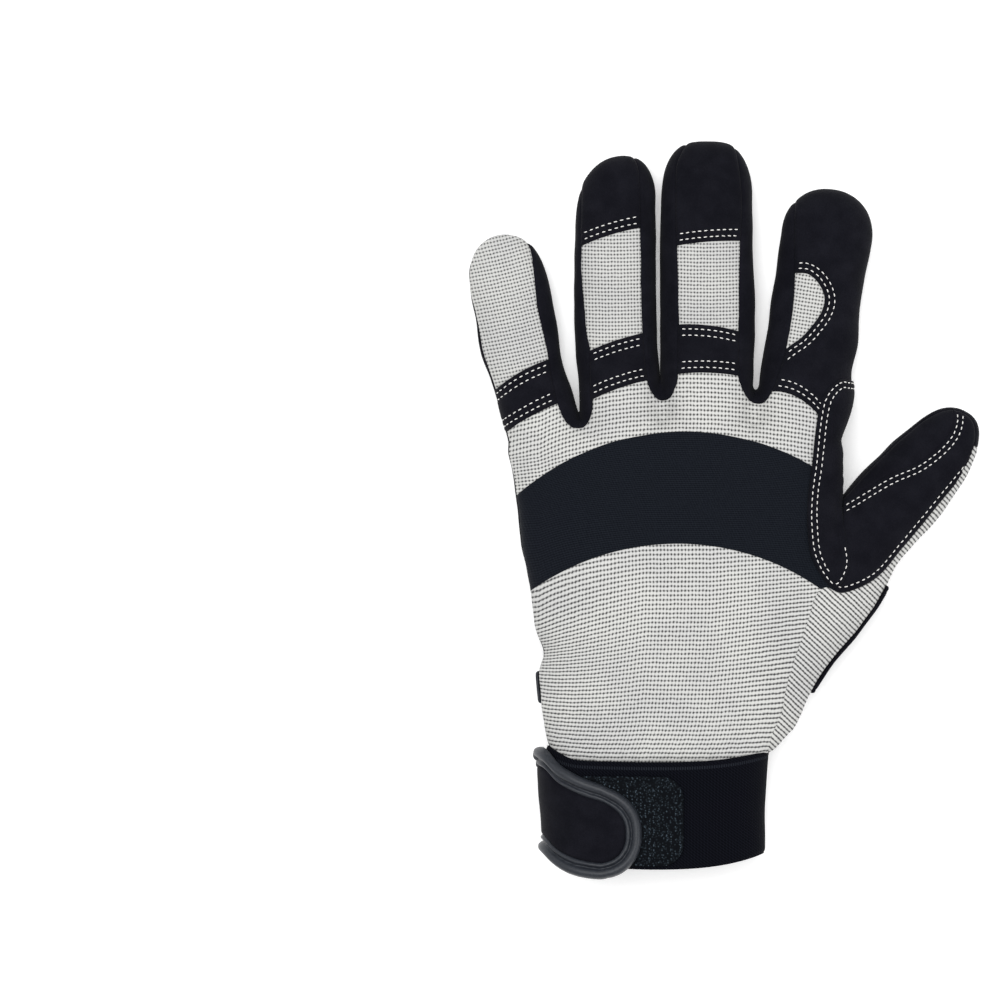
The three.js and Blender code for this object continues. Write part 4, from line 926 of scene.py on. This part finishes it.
def make_cuff_skin(around=220, overhang=9.0):
    """The cuff's outer surface, with the outlines of its tab and its loop patch as figures."""
    half_wide, half_high = CUFF["width"] / 2, CUFF["height"] / 2
    turn = np.linspace(0, 2 * np.pi, 2001)
    across, up = squared_off(np.sin(turn)) * half_wide, squared_off(np.cos(turn)) * half_high
    ring = np.stack([across, half_high - FLOOR_SINK + up], 1)
    ring[:, 1] = -smooth_least(-ring[:, 1], 0 * ring[:, 1], 1.5)
    length = np.concatenate([[0], np.cumsum(np.linalg.norm(np.diff(ring, axis=0), axis=1))])
    stops = np.linspace(0, length[-1], around + 1)[:-1]
    x, z = (np.interp(stops, length, ring[:, k]) for k in (0, 1))
    rows_y = np.arange(CUFF["low"] - overhang, CUFF["high"] + overhang, 0.8)
    s = np.where(stops > length[-1] / 2, stops - length[-1], stops)
    to_left, to_right = np.maximum(-x / half_wide, 0), np.maximum(x / half_wide, 0)
    grid = []
    for y in rows_y:
        share = (y - CUFF["low"]) / (CUFF["high"] - CUFF["low"])
        up = np.clip(share, 0, 1.1)
        sag = CUFF_BENDS["sag"] - CUFF_BENDS["sag_loss"] * up
        bend = CUFF_BENDS["right_lift"] * to_right ** 3 - sag * (1 - (x / half_wide) ** 2)
        bend = bend + CUFF_BENDS["left_lift"] * up ** 3 * np.clip((to_left - 0.7) / 0.3, 0, 1) ** 2
        near_edge = np.clip((up - 0.8) / 0.3, 0, 1) ** 2
        spread = CUFF_BENDS["right_spread"] * up ** 4 * to_right ** 2
        spread = spread - CUFF_BENDS["left_spread"] * up ** 1.5 * (1 - 0.9 * near_edge) * to_left ** 2
        taper = 1 - CUFF_BENDS["taper"] * (1 - share)
        grid.append(np.stack([CUFF["middle"] + x * taper + spread, y + bend, z, s, np.full(around, y)], 1))
    rows = np.vstack(grid)
    i = np.arange((len(rows_y) - 1) * around)
    beside = np.where((i + 1) % around == 0, i + 1 - around, i + 1)
    faces = np.vstack([np.stack([i, beside, i + around], 1),
                       np.stack([beside, beside + around, i + around], 1)])
    normals = vertex_normals(rows[:, :3], faces)
    outward = np.sign((normals * (rows[:, :3] - [CUFF["middle"], 0, half_high])).sum())
    if outward < 0:
        faces, normals = faces[:, ::-1], -normals
    s, y = rows[:, 3], rows[:, 4]
    left = CUFF["middle"] - half_wide
    middle = (CUFF["low"] + CUFF["high"]) / 2
    at_hinge = -length[-1] / 4
    under_side = np.clip((at_hinge - s) / TAB["underlap"], 0, 1)
    line = eased(rows[:, 0], *TAB_LINE)
    hinge_y = TAB_LINE[1][1]
    across = rows[:, 1] - np.where(s > at_hinge, line, hinge_y) - (middle - hinge_y) * under_side
    round_side = np.clip((TAB_WIDENING["start"] - rows[:, 0]) / TAB_WIDENING["length"], 0, 1)
    across = across * (1 - TAB_WIDENING["share"] * round_side ** 0.7)
    shoulder = np.flatnonzero((s[:around] > at_hinge) & (s[:around] < 0))
    end = np.interp(left + TAB["length"], CUFF["middle"] + x[shoulder], s[:around][shoulder])
    tab = rounded_strip(s, across, end, TAB["width"] / 2, TAB["width"] / 2 - 1)
    under = s - (at_hinge - TAB["underlap"] - 12)
    loop = rounded_strip(rows[:, 0], rows[:, 1] - LOOP["middle"], LOOP["right"], LOOP["width"] / 2,
                         LOOP["corner"])
    figures = {
        "over_low": y - CUFF["low"],
        "under_high": CUFF["high"] - y,
        "tab": tab,
        "tab_start": np.where(s < 0, under, 1.0),
        "loop": loop,
        "loop_start": rows[:, 0] - (LOOP["right"] - LOOP["length"]),
        "top": rows[:, 2] - half_high,
        "weave_u": s,
        "weave_v": y,
    }
    columns = {name: 6 + i for i, name in enumerate(figures)}
    return Skin(columns, np.column_stack([rows[:, :3], normals, *figures.values()]), faces)


def cuff_pieces():
    """Pieces of the cuff: name, node, slot finish, panel, and where the inner face lies."""
    skin = make_cuff_skin()
    cuff = panel_surface(skin, [("over_low", 1, "tucked"), ("under_high", 1, "tucked")],
                         relief=0.25, relief_size=14, seed=21)
    hem = 0.22 * np.exp(-((cuff["under_high"] - HEM - 0.1) / 0.35) ** 2)
    cuff.rows[:, cuff.columns["height"]] -= hem
    loop = panel_surface(skin, [("loop", 1, "plain"), ("loop_start", 1, "none"), ("top", 1, "none")],
                         rise=LOOP["raise_"] + LOOP["thick"])
    for level in (1.0, 1.5, 2.0, 2.6):
        loop = loop.cut(loop["loop"] - level)
    loop.rows[:, loop.columns["height"]] -= 0.25 * np.exp(-((loop["loop"] - 1.6) / 0.35) ** 2)
    strap = skin.cut(skin["tab_start"], above_only=True)
    binding = TAB["binding"]
    fold_end = binding + TAB["fold"]
    face = strap.cut(strap["tab"] - fold_end + 0.4, above_only=True)
    for level in (0.2, 0.6, 1.2, 2.0):
        face = face.cut(face["tab"] - fold_end - level)
    inner = face["tab"] - fold_end
    height = TAB["raise_"] + TAB["thick"] - 0.5 - 0.6 * np.exp(-((inner + 0.2) / 0.7) ** 2)
    face = face.with_column("height", height + 0.2 * lumps(face.points, 11, 32))
    roll = strap.cut(strap["tab"], above_only=True)
    roll = roll.cut(fold_end - roll["tab"], above_only=True)
    for level in (0.12, 0.35, 0.7, 1.1, 1.6, 2.1, 2.5, 2.85, 3.1, 3.4, 3.6, 3.8, 4.0, 4.3, 4.6, 4.9, 5.1):
        roll = roll.cut(roll["tab"] - level)
    t = np.clip(2 * roll["tab"] / binding - 1, -1, 1)
    tube = TAB["raise_"] - 0.2 + TAB["binding_height"] * 0.95 * np.sqrt(np.maximum(1 - np.abs(t) ** 2.3, 0))
    beyond = roll["tab"] - binding
    ruck = lumps(roll.points * [1.0, 1.0, 0.2], 1.7, 31)
    across_fold = np.clip((beyond - 0.3) / (TAB["fold"] - 0.3), 0, 1)
    flap = TAB["raise_"] + TAB["thick"] - 0.9 + 0.75 * np.sin(np.pi * across_fold)
    flap = flap + 0.22 * ruck * np.exp(-((beyond - 0.4) / 0.5) ** 2)
    height = np.where(beyond < 0, np.maximum(tube, np.where(t > 0, flap, 0)), flap)
    roll = roll.with_column("height", height + 0.08 * lumps(roll.points, 6, 33))
    return [
        ("cuff_elastic", "cuff_band", "elastic", cuff, -CUFF["wall"]),
        ("closure_loops", "loop_patch", "loops", largest_piece(loop), LOOP["raise_"] - 0.2),
        ("tab_suede", "wrist_tab", "suede", largest_piece(face), TAB["raise_"]),
        ("tab_binding", "tab_piping", "satin", largest_piece(roll), TAB["raise_"] - 0.3),
    ]


# Materials

class Value:
    """A socket with arithmetic: an expression on values adds its nodes to the material."""

    def __init__(self, finish, socket):
        self.finish, self.socket = finish, socket

    def math(self, operation, *others):
        inputs = {i: v for i, v in enumerate((self, *others))}
        return self.finish.node("ShaderNodeMath", {"operation": operation}, inputs)

    def __add__(self, other):
        return self.math("ADD", other)

    def __sub__(self, other):
        return self.math("SUBTRACT", other)

    def __rsub__(self, other):
        return self.finish.node("ShaderNodeMath", {"operation": "SUBTRACT"}, {0: other, 1: self})

    def __mul__(self, other):
        return self.math("MULTIPLY", other)

    def __truediv__(self, other):
        return self.math("DIVIDE", other)

    def __pow__(self, other):
        return self.math("POWER", other)

    __radd__ = __add__

    def swing(self):
        """A wave that runs from 0 to 1 and back once for each whole number."""
        return (self * (2 * math.pi)).math("COSINE") * 0.5 + 0.5

    def between(self, low, high):
        """0 up to low, 1 from high, and smooth between them."""
        return self.finish.node("ShaderNodeMapRange", {"interpolation_type": "SMOOTHSTEP"},
                                {"Value": self, "From Min": low, "From Max": high})


class Finish:
    """A material, and the one way in which its nodes are made."""

    def __init__(self, name):
        self.material = bpy.data.materials.new(name)
        self.material.use_nodes = True
        self.tree = self.material.node_tree
        self.shader = self.tree.nodes["Principled BSDF"]

    def node(self, kind, settings=None, inputs=None, output=0):
        made = self.tree.nodes.new(kind)
        for key, value in (settings or {}).items():
            setattr(made, key, value)
        self.feed(made, inputs or {})
        return Value(self, made.outputs[output])

    def feed(self, made, inputs):
        for key, value in inputs.items():
            if isinstance(value, Value):
                self.tree.links.new(value.socket, made.inputs[key])
            else:
                made.inputs[key].default_value = value

    def place(self):
        """Places on the object, in millimetres."""
        at = self.node("ShaderNodeTexCoord", output=3)
        return self.node("ShaderNodeVectorMath", {"operation": "MULTIPLY"}, {0: at, 1: (1 / MM,) * 3})

    def weave(self):
        """Places across and along the cloth, in millimetres."""
        return self.node("ShaderNodeAttribute", {"attribute_name": "weave"}, output=1)

    def parts(self, vector):
        return [self.node("ShaderNodeSeparateXYZ", inputs={0: vector}, output=i) for i in range(3)]

    def noise(self, vector, scale, detail=2.0, rough=0.5):
        inputs = {"Vector": vector, "Scale": scale, "Detail": detail, "Roughness": rough}
        return self.node("ShaderNodeTexNoise", inputs=inputs)

    def colour(self, share, first, second, blend="MIX"):
        """The second colour laid on the first by a share; each is red, green and blue, or a Value."""
        one, two = (end if isinstance(end, Value) else (*end, 1) for end in (first, second))
        settings = {"data_type": "RGBA", "blend_type": blend}
        return self.node("ShaderNodeMix", settings, {0: share, 6: one, 7: two}, output=2)

    def bump(self, height, depth_mm, normal=None):
        inputs = {"Height": height, "Distance": depth_mm * MM, "Strength": 1.0}
        if normal is not None:
            inputs["Normal"] = normal
        return self.node("ShaderNodeBump", inputs=inputs)

    def done(self, **sockets):
        self.feed(self.shader, {key.replace("_", " "): value for key, value in sockets.items()})
        return self.material


def knit(name, depth, light):
    """Light grey stretch knit: a grid of upright pinholes that turns to ribs where the cloth is stretched."""
    f = Finish(name)
    at = f.weave()
    u, v, ribbed = f.parts(at)
    drift = f.noise(at, 0.35, 1.0) - 0.5
    fine = f.noise(at, 1.9, 1.0) - 0.5
    across = (u / KNIT_COLUMN + drift * 0.35 + fine * 0.16).swing()
    up = (v / KNIT_ROW + drift * 0.3 + fine * 0.14).swing()
    strand = f.noise(at, 2.6, 2.0, 0.6)
    dash = (across ** 2.2) * (up ** 1.0)
    grid = dash * 0.58 + (across ** 2) * 0.22 + (up ** 2.6) * 0.38
    ribs = (up ** 2.2) * (0.84 + across * 0.2) + (across ** 3) * 0.08
    dark = (grid * (1 - ribbed) + ribs * ribbed) * depth + (strand - 0.5) * 0.62
    worn = f.noise(f.place(), 0.05, 2.0)
    base = f.colour(dark.between(0.0, 1.0), light, (0.045, 0.045, 0.047))
    shade = f.colour(worn.between(0.3, 0.7), (0.92, 0.92, 0.93), (1.0, 1.0, 0.99))
    shaded = f.colour(1.0, base, shade, "MULTIPLY")
    height = 1 - dash * 0.6 - (up ** 2) * 0.5 + strand * 0.2
    return f.done(Base_Color=shaded, Roughness=0.9, Normal=f.bump(height, 0.3), Sheen_Weight=0.05,
                  Specular_IOR_Level=0.1)


def rib():
    """Near-black stretch rib of the knuckle band."""
    f = Finish("dark_rib_knit")
    at = f.weave()
    u, v, _ = f.parts(at)
    drift = f.noise(at, 0.5, 1.0) - 0.5
    row = (v / 0.68 + drift * 0.3).swing()
    column = (u / 0.9 + v / 2.6 + drift * 0.2).swing()
    share = row * 0.42 + column * 0.2 + (f.noise(at, 2.2, 2.0) - 0.5) * 0.7 + 0.15
    base = f.colour(share.between(0.1, 0.9), (0.0018, 0.0026, 0.0052), (0.0082, 0.0104, 0.0150))
    return f.done(Base_Color=base, Roughness=0.8, Normal=f.bump(share, 0.2), Sheen_Weight=0.02,
                  Sheen_Roughness=0.5, Specular_IOR_Level=0.06)


def suede():
    """Black synthetic suede: a short matt nap with soft blotches and a fine grain."""
    f = Finish("black_suede")
    at = f.place()
    nap = f.noise(at, 2.4, 4.0, 0.6)
    blotch = f.noise(at, 0.16, 3.0)
    speck = f.noise(at, 5.0, 1.0).between(0.68, 0.8)
    share = (nap - 0.5) * 0.9 + blotch * 0.9
    hide = f.colour(share.between(0.15, 0.85), (0.0022, 0.0023, 0.0045), (0.0062, 0.0063, 0.0098))
    base = f.colour(speck * 0.2, hide, (0.03, 0.03, 0.036))
    return f.done(Base_Color=base, Roughness=nap * 0.15 + 0.75, Normal=f.bump(nap, 0.12), Sheen_Weight=0.02,
                  Sheen_Roughness=0.5, Specular_IOR_Level=0.06)


def elastic():
    """Black elastic webbing: a fine slanting twill, and a line of ticks where its hem is sewn."""
    f = Finish("black_elastic")
    at = f.weave()
    u, v, _ = f.parts(at)
    row = (v / 0.95 + u / 1.2).swing()
    ridge = (u / 1.1).swing()
    share = row * 0.6 + ridge * 0.3 + (f.noise(at, 2.0, 2.0) - 0.5) * 0.4
    lint = f.noise(at, 1.1, 3.0, 0.7).between(0.74, 0.8)
    off_hem = (v - (CUFF["high"] - HEM)).math("ABSOLUTE")
    ticks = (1 - off_hem.between(0.35, 0.6)) * ((u / 0.8).swing() ** 1.5)
    cloth = f.colour(share.between(0.1, 0.9), (0.0005, 0.0007, 0.0020), (0.0034, 0.0040, 0.0072))
    dusty = f.colour(lint * 0.25, cloth, (0.05, 0.05, 0.06))
    base = f.colour(ticks * 0.45, dusty, (0.03, 0.035, 0.045))
    return f.done(Base_Color=base, Roughness=0.85, Normal=f.bump(share, 0.22), Specular_IOR_Level=0.05)


def loops():
    """Loop pile of the closure: columns of fine bluish-grey loops."""
    f = Finish("closure_loop_pile")
    at = f.weave()
    u, v, _ = f.parts(at)
    spots = f.node("ShaderNodeTexVoronoi", {"feature": "F1"},
                   {"Vector": at, "Scale": 1.35, "Randomness": 0.9})
    wave = f.noise(at, 0.9, 1.0) - 0.5
    column = (u / 1.45 + wave * 0.55 + (v / 2.4).swing() * 0.18).swing()
    tuft = (1 - spots * 1.5).between(0.15, 0.8) * (column.between(0.25, 0.85) * 0.85 + 0.15)
    base = f.colour(tuft, (0.0010, 0.0016, 0.0028), (0.050, 0.068, 0.086))
    return f.done(Base_Color=base, Roughness=0.7, Normal=f.bump(tuft, 0.5), Specular_IOR_Level=0.05)


def satin():
    """Dark slate binding tape with a soft gloss."""
    f = Finish("slate_satin_tape")
    at = f.place()
    grain = f.noise(at, 1.6, 3.0)
    base = f.colour(grain.between(0.3, 0.7), (0.0090, 0.0112, 0.0160), (0.0155, 0.0188, 0.0258))
    return f.done(Base_Color=base, Roughness=grain * 0.2 + 0.36, Normal=f.bump(grain, 0.06),
                  Specular_IOR_Level=0.36)


def thread():
    """Off-white sewing thread."""
    f = Finish("off_white_thread")
    at = f.place()
    twist = f.noise(at, 3.0, 1.0)
    base = f.colour(twist.between(0.3, 0.7), (0.55, 0.54, 0.52), (0.80, 0.79, 0.76))
    return f.done(Base_Color=base, Roughness=0.7, Normal=f.bump(twist, 0.05), Sheen_Weight=0.1)


# finish: the record's slot and the material
FINISHES = {
    "suede": ("black_leather", suede()),
    "knit": ("grey_cloth", knit("light_grey_knit", 1.0, (0.525, 0.525, 0.512))),
    "fine_knit": ("grey_cloth", knit("fine_light_grey_knit", 0.9, (0.500, 0.500, 0.490))),
    "rib": ("band_cloth", rib()),
    "elastic": ("elastic", elastic()),
    "loops": ("loop_pile", loops()),
    "satin": ("piping", satin()),
    "thread": ("thread", thread()),
}


def dress(thing, finish, *nodes):
    """Gives a piece its finish, hangs it under the root body and hides the nodes of the CAD that it stands
    for.
    """
    slot, material = FINISHES[finish]
    thing.data.materials.append(material)
    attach(thing, "root")
    if nodes:
        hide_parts(*nodes)


# Making the glove

def make_panels(skin):
    """All panels of the shell, and the thread of their visible seams."""
    back_thread = Thread()
    for name, made in PANELS.items():
        crease = wrist_gathers if made["node"] in ("back_panel", "thumb_gusset", "palm_panel") else None
        stitches = made.get("stitches", ())
        panel = panel_surface(skin, made["edges"], stitches, made.get("rise", 0.0), crease,
                              relief=made["relief"], seed=made.get("seed", 1))
        panel = with_weave(panel, name)
        dress(piece_mesh(name, panel, -SHELL_WALL), made["finish"], made["node"])
        for edge, distances in stitches:
            side = next(s for n, s, _ in made["edges"] if n == edge)
            guards = [(n, s, 0.6) for n, s, kind in made["edges"] if n != edge and kind != "none"]
            for distance in distances:
                back_thread.sew(contour(panel, edge, side * distance, guards))
    return back_thread


def make_patches(skin, back_thread, palm_thread):
    """The leather patches and the binding that are sewn on the outside."""
    for name, made in PATCHES.items():
        edges = [("upper", made["half"], "none"), (made["zone"], 1, "turned")]
        finish = "satin" if name == "vent_binding" else "suede"
        rows = [(made["zone"], made["rows"])] if made["rows"] else []
        panel = panel_surface(skin, edges, rows, made["rise"], relief=0.2, seed=15)
        panel = with_weave(panel, name)
        piece = piece_mesh(name, panel, made["rise"] - made["thick"])
        dress(piece, finish, made["node"])
        sewn = back_thread if made["half"] > 0 else palm_thread
        for distance, shown in zip(made["rows"], ("outer_row", "inner_row")):
            guards = [("upper", made["half"], 0.8)] + ([(shown, 1, 0.0)] if made["half"] > 0 else [])
            sewn.sew(contour(panel, made["zone"], distance, guards))


glove_skin = with_seams(make_skin())
back_thread, palm_thread = make_panels(glove_skin), Thread()
make_patches(glove_skin, back_thread, palm_thread)
for name, node, finish, panel, inner in cuff_pieces():
    dress(piece_mesh(name, panel, inner), finish, node)
dress(back_thread.made("back_stitches"), "thread")
dress(palm_thread.made("palm_stitches"), "thread")


# Floor, light and camera

def on_table(x, y, z):
    """A place in the frame, from one on the drawing."""
    return Vector(ORIGIN + MM * np.array([x, y, z]))


def make_floor():
    mesh = bpy.data.meshes.new("floor")
    size = 3.0
    corners = [(-size, -size, 0), (size, -size, 0), (size, size, 0), (-size, size, 0)]
    mesh.from_pydata(corners, [], [(0, 1, 2, 3)])
    floor = bpy.data.objects.new("floor", mesh)
    bpy.context.scene.collection.objects.link(floor)
    f = Finish("white_table")
    mesh.materials.append(f.done(Base_Color=(0.93, 0.93, 0.93, 1), Roughness=0.9, Specular_IOR_Level=0.1,
                                 Emission_Color=(1, 1, 1, 1), Emission_Strength=0.25))


def make_light(name, place, aim, size, power):
    lamp = bpy.data.lights.new(name, "AREA")
    lamp.shape, lamp.size, lamp.energy = "DISK", size, power
    thing = bpy.data.objects.new(name, lamp)
    thing.location = place
    thing.rotation_euler = (Vector(aim) - Vector(place)).to_track_quat("-Z", "Y").to_euler()
    bpy.context.scene.collection.objects.link(thing)


def make_camera():
    """Straight above the table and high up; the glove lies to the right of the picture's middle."""
    data = bpy.data.cameras.new("camera")
    data.sensor_width, data.lens = 36.0, 268.4
    camera = bpy.data.objects.new("camera", data)
    camera.location = on_table(-60, 90, 2500)
    bpy.context.scene.collection.objects.link(camera)
    bpy.context.scene.camera = camera


def make_world():
    world = bpy.data.worlds.new("soft_white")
    world.use_nodes = True
    world.node_tree.nodes["Background"].inputs["Color"].default_value = (1, 1, 1, 1)
    world.node_tree.nodes["Background"].inputs["Strength"].default_value = 0.75
    bpy.context.scene.world = world


make_floor()
middle = on_table(0, 90, 0)
make_light("overhead_softbox", middle + Vector((-0.25, 0.35, 1.3)), middle, 1.2, 16)
make_light("side_softbox", middle + Vector((1.1, -0.5, 0.9)), middle, 0.9, 6)
make_world()
make_camera()
bpy.context.scene.view_settings.view_transform = "Standard"
